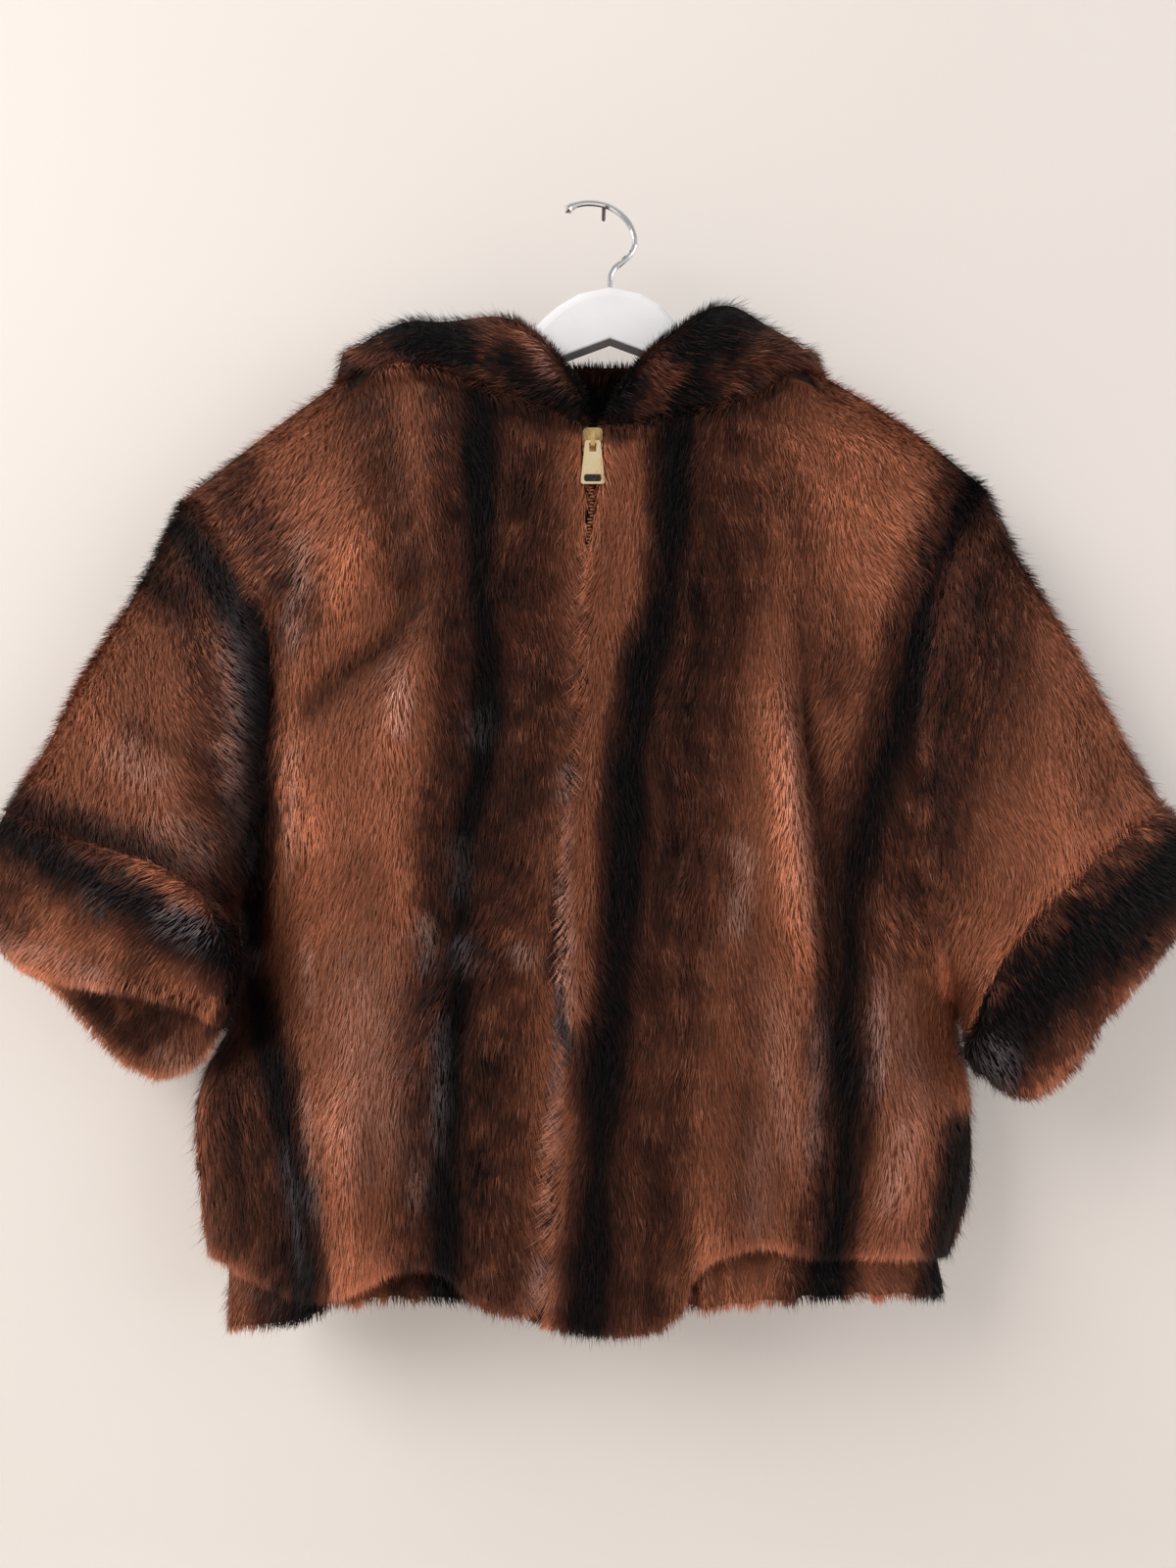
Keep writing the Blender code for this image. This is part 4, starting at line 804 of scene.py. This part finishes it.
# --- Fronts -----------------------------------------------------------------------------------------
# Two panels cut with the stripes upright and sewn to the back at shoulders and sides. Their edges are set
# back from the zip, and the pile closes over it below the pull. Folds run from the chest and the armholes.
FRONT_STRIPES = (
    (((-284, 186), (-262, 206), (-246, 232), (-230, 262), (-221, 305), (-221, 394), (-224, 461),
      (-235, 493)), 8, 52, 12, 1.0),
    (((-235, 493), (-240, 530), (-236, 590), (-228, 650)), 3, 24, 30, 0.8),
    (((-224, 480), (-216, 520), (-206, 570), (-196, 618), (-190, 686), (-186, 720)), 8, 40, 14, 1.0),
    (((-82, 110), (-80, 150), (-78, 243), (-76, 300), (-74, 322), (-78, 359), (-87, 393), (-90, 444),
      (-97, 524), (-98, 586), (-101, 674), (-101, 720)), 8, 38, 66, 1.0),
    (((46, 110), (46, 180), (40, 243), (24, 305), (15, 368), (12, 430), (3, 524), (-4, 618), (-10, 720)),
     10, 14, 78, 1.0),
    (((240, 150), (236, 170), (227, 200), (213, 221), (204, 258), (201, 286), (193, 314), (184, 343),
      (173, 369), (163, 409), (157, 450), (156, 491), (154, 518), (156, 555), (153, 618), (140, 693),
      (138, 720)), 8, 26, 16, 1.0),
    (((236, 170), (227, 200), (213, 221), (204, 258), (201, 286), (193, 314), (184, 343), (173, 369),
      (166, 420)), 8, 20, 88, 0.95),
    (((231, 586), (215, 655), (206, 720)), 7, 12, 10, 0.95),
    # The next two rows are painted shade along the neck seams under the hood.
    (((-168, 106), (-150, 103), (-128, 101), (-100, 110), (-60, 123), (-19, 134)), 0, 6, 9, 0.7),
    (((7, 137), (45, 133), (75, 124), (100, 114), (124, 104)), 0, 8, 8, 0.8),
    # Painted shade down the line where the fronts meet over the zip.
    (((-12, 236), (-16, 305), (-25, 410), (-28, 500), (-34, 610), (-44, 706)), 0, 4, 3, 1.0),
    # Rows with a core below 0 are painted shade: broad darker patches along fold troughs and over parts of
    # the chest and shoulders.
    (((-150, 120), (-146, 150), (-132, 190), (-120, 230)), -8, 44, 40, 0.6),
    (((-240, 160), (-228, 190), (-206, 224), (-196, 260)), -8, 42, 42, 0.8),
    (((110, 150), (124, 230), (150, 300)), -8, 40, 40, 0.5),
    (((-112, 246), (-140, 276), (-164, 296), (-186, 312)), -8, 22, 26, 0.6),
    (((124, 272), (132, 350), (141, 450), (147, 566)), -8, 16, 24, 0.8),
    (((86, 452), (92, 520), (90, 600), (84, 660)), -8, 28, 30, 0.4),
)
# Painted sheen: pale streaks where the pile catches the light on ridges and edges.
FRONT_SHEEN_MARKS = (
    (((-184, 190), (-190, 230), (-197, 262), (-198, 300)), 6, 0.5),
    (((-134, 276), (-128, 300), (-129, 318), (-134, 340)), 7, 0.7),
    (((-197, 320), (-196, 380), (-200, 440)), 5, 0.35),
    (((-170, 452), (-160, 500), (-156, 560)), 8, 0.3),
    (((-158, 440), (-148, 540), (-150, 640)), 22, 0.42),
    (((104, 470), (112, 550), (116, 640)), 12, 0.3),
    (((176, 470), (190, 540), (196, 600)), 12, 0.3),
    (((-204, 580), (-198, 620), (-188, 690)), 5, 0.6),
    (((140, 480), (136, 560), (128, 620)), 7, 0.35),
    (((190, 560), (186, 610), (180, 650)), 10, 0.4),
    (((112, 280), (122, 380), (130, 470)), 6, 0.35),
    (((-122, 440), (-114, 452), (-112, 470), (-112, 490)), 6, 0.65),
    (((-186, 452), (-185, 480), (-182, 520)), 4, 0.55),
    (((-221, 462), (-219, 475), (-220, 490)), 5, 0.6),
    (((-94, 458), (-86, 470), (-84, 486)), 8, 0.85),
    (((-56, 462), (-50, 470), (-50, 482)), 6, 0.55),
    (((-24, 345), (-26, 362), (-28, 380)), 5, 0.5),
    (((-22, 340), (-22, 420), (-24, 500), (-28, 560), (-32, 640), (-38, 690)), 4, 0.5),
    (((-86, 312), (-80, 326), (-82, 345)), 11, 0.4),
    (((-92, 390), (-92, 420), (-94, 444)), 9, 0.35),
    (((-100, 500), (-104, 530), (-106, 570), (-104, 610)), 6, 0.7),
    (((72, 392), (84, 402), (92, 412), (88, 440), (78, 470)), 8, 0.75),
    (((173, 480), (176, 520), (173, 570)), 6, 0.7),
    (((-186, 540), (-186, 600), (-180, 660)), 5, 0.5),
    (((-120, 590), (-118, 640)), 8, 0.35),
    (((-42, 660), (-38, 700)), 9, 0.45),
    (((96, 560), (98, 620), (100, 660)), 8, 0.4),
)
FRONT_CREASES = SIDE_CREASES + (
    (((-112, 246), (-140, 276), (-164, 296), (-186, 312), (-198, 334)), 8, -7.5),
    (((-100, 270), (-124, 298), (-136, 326), (-140, 360)), 11, 6.5),
    (((-150, 200), (-168, 240), (-190, 290)), 12, 5.5),
    (((-130, 130), (-138, 170), (-128, 220)), 12, -4.5),
    (((28, 402), (48, 408), (66, 416), (88, 424)), 6, -5.5),
    (((40, 416), (62, 424), (84, 436)), 7, 4.5),
    (((-89, 470), (-84, 492), (-92, 520), (-96, 550)), 6, -5.5),
    (((-96, 470), (-102, 500), (-107, 530)), 6, 4.0),
    (((-190, 340), (-180, 420), (-186, 500)), 12, 4.5),
    (((-152, 380), (-146, 450), (-150, 520)), 14, -4.0),
    (((-124, 430), (-116, 500), (-122, 590)), 11, 4.0),
    (((70, 480), (76, 560), (72, 640)), 14, -4.0),
    (((-60, 250), (-66, 330), (-62, 410)), 16, -3.5),
    (((96, 250), (112, 340), (122, 440), (126, 540)), 13, 5.5),
    (((124, 262), (132, 350), (141, 450), (147, 566)), 6, -5.0),
    (((60, 148), (84, 150), (120, 158), (150, 164), (195, 172), (215, 180)), 3, -3.0),
    (((60, 136), (110, 146), (160, 154), (205, 166)), 7, 3.0),
    (((-150, 560), (-146, 620), (-150, 670)), 10, -4.0),
    (((112, 590), (116, 630), (114, 665)), 7, -4.5),
    (((176, 560), (170, 620), (160, 680)), 8, -4.5),
    (((196, 540), (194, 600), (186, 660)), 10, 4.0),
)
# From where down the pile closes over the zip, how wide the strip is that leans, how far it leans, and what
# share of that it leans above
CLOSED_FROM = (212, 236)
CLOSING_WIDTH = 13
CLOSING_LEAN = 0.75
OPEN_SHARE = 0.4


def comb_over_zip(places):
    """Down, and towards the zip where the pile closes over it."""
    way = comb_down(places)
    seen = in_picture(places)
    off = off_closure(seen)
    closed = OPEN_SHARE + (1 - OPEN_SHARE) * eased(seen[:, 1], *CLOSED_FROM)
    near = np.exp(-((off / CLOSING_WIDTH) ** 2)) * closed
    way[:, 0] = CLOSING_LEAN * np.sign(off) * near
    return way


for node, seed in (("front_right", 200), ("front_left", 300)):
    make_panel(
        node, outside_of_torso, FRONT_STRIPES, FRONT_SHEEN_MARKS, FRONT_CREASES, comb_over_zip, hairs=84000,
        seed=seed,
    )


# --- Sleeves ----------------------------------------------------------------------------------------
# Short wide tubes of the same fur, sewn to the dropped shoulders, with the pile combed down the arm.
# The fronts' armhole stripes run on over the seams.
SLEEVE_DEPTH = -13


def outside_of_tube(start, end, depth):
    """A test for faces that look away from a tube's axis, which runs from start to end, in mm."""
    start, end = (np.array((place[0], depth, place[1])) * MM for place in (start, end))
    axis = unit(end - start)

    def outside(places, across):
        off = places - start
        off = off - (off @ axis)[:, None] * axis
        return (off * across).sum(axis=1) > 0

    return outside


def combed(across, down):
    """Pile that runs one way all over."""
    def comb(places):
        way = np.zeros_like(places)
        way[:] = (across, 0, -down)
        return way

    return comb


ARMHOLE_STRIPES = FRONT_STRIPES[:1] + FRONT_STRIPES[5:7]
SLEEVE_STRIPES = ARMHOLE_STRIPES + (
    (((-330, 210), (-300, 226), (-270, 246)), 6, 24, 24, 0.7),
    (((-300, 330), (-270, 344), (-250, 352)), 0, 10, 16, 0.35),
    # Painted shadow in the gap between the cuff and the body.
    (((-229, 420), (-231, 470), (-234, 500), (-240, 530)), 4, 6, 6, 1.0),
    (((-392, 372), (-360, 384), (-300, 404), (-250, 440)), 4, 18, 18, 0.8),
    (((352, 350), (362, 372), (372, 392)), 6, 22, 22, 0.85),
)
# Painted sheen: pale streaks where the pile catches the light.
SLEEVE_SHEEN_MARKS = (
    (((-250, 240), (-240, 268), (-238, 322), (-240, 363), (-238, 404), (-240, 440)), 8, 0.55),
    (((-318, 330), (-296, 352), (-270, 366)), 12, 0.45),
    (((-290, 376), (-268, 400), (-250, 424)), 13, 0.4),
    (((200, 470), (210, 520), (228, 560)), 7, 0.5),
)
SLEEVE_CREASES = (
    (((-300, 230), (-290, 290), (-296, 350)), 14, -3.0),
    (((-330, 290), (-316, 340), (-300, 380)), 12, 2.5),
    (((-270, 300), (-262, 360), (-266, 420)), 10, -3.0),
    (((262, 250), (268, 320), (262, 390)), 15, -3.0),
    (((300, 300), (296, 360), (282, 420)), 12, 2.5),
    (((236, 330), (232, 400), (222, 450)), 12, -2.5),
)
SLEEVES = (
    ("sleeve_right", (-215, -310), (-330, -470), combed(0.6, 0.8), 400),
    ("sleeve_left", (200, -320), (310, -480), combed(-0.12, 0.99), 500),
)
for node, start, end, comb, seed in SLEEVES:
    make_panel(
        node, outside_of_tube(start, end, SLEEVE_DEPTH), SLEEVE_STRIPES, SLEEVE_SHEEN_MARKS, SLEEVE_CREASES, comb,
        hairs=48000, seed=seed, far_share=0.7,
    )


# --- Cuffs ------------------------------------------------------------------------------------------
# Deep bands of the same fur, doubled and turned up at the sleeve ends. One dark stripe runs round each, and
# there is fur inside too.
def all_over(places, across):
    """Fur on every face."""
    return np.ones(len(places), bool)


CUFF_STRIPES = (
    (((-400, 396), (-374, 399), (-352, 410), (-330, 426), (-310, 436), (-290, 449), (-262, 462), (-241, 478)),
     6, 22, 20, 1.0),
    (((380, 404), (359, 424), (309, 467), (271, 505), (240, 545)), 15, 30, 26, 1.0),
    (((-309, 497), (-285, 503), (-263, 511)), 1, 7, 7, 0.6),
    (((-304, 525), (-287, 511)), 1, 8, 8, 0.6),
    (((-291, 531), (-274, 518)), 1, 7, 7, 0.55),
    (((-332, 503), (-318, 517)), 1, 10, 10, 0.5),
    # Painted shadow in the gap between the cuff and the body.
    (((-229, 440), (-231, 470), (-234, 500), (-240, 530)), 4, 6, 6, 1.0),
)
# Painted sheen: pale streaks where the pile catches the light.
CUFF_SHEEN_MARKS = (
    (((-288, 444), (-264, 456), (-244, 470)), 10, 0.75),
    (((-330, 428), (-318, 444), (-306, 452)), 7, 0.4),
    (((244, 520), (252, 548), (266, 556)), 12, 0.6),
    (((-392, 460), (-352, 474), (-300, 492)), 8, 0.35),
    (((-286, 528), (-270, 540), (-256, 536)), 9, 0.35),
)
CUFF_CREASES = (
    (((-236, 430), (-235, 480), (-242, 516)), 8, 3.5),
    (((-330, 440), (-320, 470), (-316, 490)), 9, -2.5),
    (((300, 470), (312, 500), (318, 530)), 9, -2.5),
)
for node, comb, seed in (("cuff_right", combed(-0.25, 0.97), 600), ("cuff_left", combed(0.45, 0.89), 700)):
    make_panel(
        node, all_over, CUFF_STRIPES, CUFF_SHEEN_MARKS, CUFF_CREASES, comb, hairs=33000, seed=seed,
        length=0.9, lift=32, far_share=0.8, base=0.24, mottle=2.4,
    )


# --- Hood -------------------------------------------------------------------------------------------
# Two halves of the same fur, sewn together down the middle and to the neck seam. The hood lies back, and its
# inside is dark fur; painted shade along the two seams at the throat runs on over the fronts.
THROAT_SEAM_SHADE = FRONT_STRIPES[8:10]
HOOD_STRIPES = (
    (((-140, 66), (-128, 72), (-112, 80), (-98, 92)), 7, 24, 24, 1.0),
    (((-60, 100), (-40, 116), (-14, 130)), 3, 16, 16, 0.8),
    (((-14, 90), (-6, 112), (0, 140)), 12, 10, 10, 1.0),
    (((6, 90), (8, 112), (2, 140)), 12, 10, 10, 1.0),
    (((84, 52), (76, 68), (62, 86)), 7, 30, 30, 1.0),
    (((60, 120), (44, 134), (30, 142)), 4, 18, 18, 0.9),
) + THROAT_SEAM_SHADE
# Painted sheen: pale streaks where the pile catches the light.
HOOD_SHEEN_MARKS = (
    (((-44, 80), (-34, 96), (-26, 112)), 6, 0.2),
    (((-150, 100), (-130, 112)), 8, 0.2),
)
HOOD_CREASES = (
    (((-120, 80), (-100, 96), (-84, 118)), 8, -2.5),
    (((96, 74), (84, 92), (70, 112)), 8, -2.5),
)
for node, comb, seed in (("hood_right", combed(-0.8, 0.6), 800), ("hood_left", combed(0.8, 0.6), 900)):
    make_panel(
        node, all_over, HOOD_STRIPES, HOOD_SHEEN_MARKS, HOOD_CREASES, comb, hairs=30000, seed=seed,
        length=0.9, lift=34, far_share=0.8, base=0.5, mottle=2.2,
    )


# --- Hem band ---------------------------------------------------------------------------------------
# A strip of the same fur, doubled over elastic and gathered by it. It is sewn to the hem and open at the zip,
# and most of it is tucked under the fronts. The body's stripes run on over it.
BAND_STRIPES = FRONT_STRIPES[2:6] + FRONT_STRIPES[7:8]
# Painted sheen: pale streaks where the pile catches the light.
BAND_SHEEN_MARKS = (
    (((-232, 660), (-214, 690), (-200, 706)), 8, 0.4),
)
BAND_TOP = 664
BAND_FOOT = 716
GATHER_WIDTH = 3.5
BAND_CREASES = tuple(
    (((across, BAND_TOP), (across + lean, BAND_FOOT)), GATHER_WIDTH, tall)
    for across, lean, tall in (
        (-176, 3, -2.4), (-168, 2, -2.0), (-158, -2, 1.8), (-149, 2, -1.6), (-136, 3, -2.2), (-122, 1, 1.6),
        (36, -2, -1.8), (52, 3, -2.4), (64, 2, 1.6), (84, -2, -2.2), (101, 1, -2.6), (118, 2, 1.8),
        (130, -1, -2.4), (163, 2, -2.6), (174, 1, 1.8), (190, -2, -2.4),
    )
)
make_panel(
    "hem_band", outside_of_torso, BAND_STRIPES, BAND_SHEEN_MARKS, BAND_CREASES, comb_down, hairs=26000, seed=1000,
    length=0.8, lift=28, base=0.2,
)


# --- Zip --------------------------------------------------------------------------------------------
# Woven tape sewn under the fronts' edges, with a chain of metal teeth. The brass slider stands at the top,
# closed to the throat, and its pull hangs from it by a bar and carries a dark inlay.
tape_cloth, tree, shader = plain_material("zip_tape_weave", (0.03, 0.018, 0.014), 0.8)
tone = ramp(tree, add_noise(tree, 1200, 2), ((0.35, (0.02, 0.012, 0.01)), (0.65, (0.05, 0.03, 0.022))))
tree.links.new(tone, shader.inputs["Base Color"])
add_bump(tree, shader, add_noise(tree, 1500, 2), 0.4, 0.0003)
refinish("zip_tape_right", tape_cloth)
refinish("zip_tape_left", tape_cloth)

# The slider's brass is set darker as painted shade and the pull's lighter as a painted highlight: one brass
# in a shaded and a lit copy.
for node, low_tone, high_tone in (
    ("zip_slider", (0.62, 0.40, 0.15), (0.80, 0.56, 0.25)),
    ("zip_pull", (0.98, 0.76, 0.42), (1.0, 0.84, 0.54)),
):
    brass, tree, shader = plain_material(node + "_brass", high_tone, 0.3)
    shader.inputs["Metallic"].default_value = 0.8
    tone = ramp(tree, add_noise(tree, 180, 4), ((0.3, low_tone), (0.7, high_tone)))
    tree.links.new(tone, shader.inputs["Base Color"])
    add_bump(tree, shader, add_noise(tree, 700, 3), 0.05, 0.0002)
    refinish(node, brass)

# One tooth is modelled, bevelled and copied down both sides of the chain, the sides half a step apart.
TOOTH_STEP = 1.95
TOOTH_SIZE = (3.0, 1.9, 1.15)
TOOTH_OFFSET = 0.45
TOOTH_BEVEL = 0.3
FIRST_TOOTH = 1.5
LAST_TOOTH = 1
NEARBY_CORNERS = 8

copper, tree, shader = plain_material("copper_teeth", (0.8, 0.42, 0.2), 0.35)
shader.inputs["Metallic"].default_value = 1
tone = ramp(tree, add_noise(tree, 400, 3), ((0.3, (0.75, 0.38, 0.17)), (0.7, (0.95, 0.56, 0.28))))
tree.links.new(tone, shader.inputs["Base Color"])

bpy.ops.mesh.primitive_cube_add(size=1)
tooth = bpy.context.object
tooth.scale = [side * MM for side in TOOTH_SIZE]
bpy.ops.object.transform_apply(location=False, rotation=False, scale=True)
bpy.ops.object.modifier_add(type="BEVEL")
tooth.modifiers["Bevel"].width = TOOTH_BEVEL * MM
tooth.modifiers["Bevel"].segments = 1
bpy.ops.object.modifier_apply(modifier="Bevel")
tooth.data.materials.append(copper)

chain_points, _ = node_form("zip_chain")
chain_low, chain_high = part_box("zip_chain")
heights = np.arange(chain_high.z - FIRST_TOOTH * MM, chain_low.z + LAST_TOOTH * MM, -TOOTH_STEP * MM)
teeth = []
for number, height in enumerate(heights):
    near = np.argsort(np.abs(chain_points[:, 2] - height))[:NEARBY_CORNERS]
    middle = chain_points[near].mean(axis=0)
    copy = tooth.copy()
    copy.data = tooth.data.copy()
    side = 1 if number % 2 else -1
    copy.location = (middle[0] + side * TOOTH_OFFSET * MM, middle[1], height)
    bpy.context.collection.objects.link(copy)
    teeth.append(copy)
bpy.ops.object.select_all(action="DESELECT")
for copy in teeth:
    copy.select_set(True)
bpy.context.view_layer.objects.active = teeth[0]
bpy.ops.object.join()
zip_teeth = bpy.context.object
zip_teeth.name = "zip_teeth"
bpy.ops.object.transform_apply(location=True, rotation=True, scale=True)
bpy.data.objects.remove(tooth)
bpy.ops.object.select_all(action="DESELECT")
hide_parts("zip_chain")
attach(zip_teeth, "jacket")

black_enamel, tree, shader = plain_material("black_enamel", (0.01, 0.01, 0.01), 0.25)
tone = ramp(tree, add_noise(tree, 300, 3), ((0.3, (0.008, 0.007, 0.006)), (0.7, (0.02, 0.016, 0.014))))
tree.links.new(tone, shader.inputs["Base Color"])
refinish("pull_inlay", black_enamel)
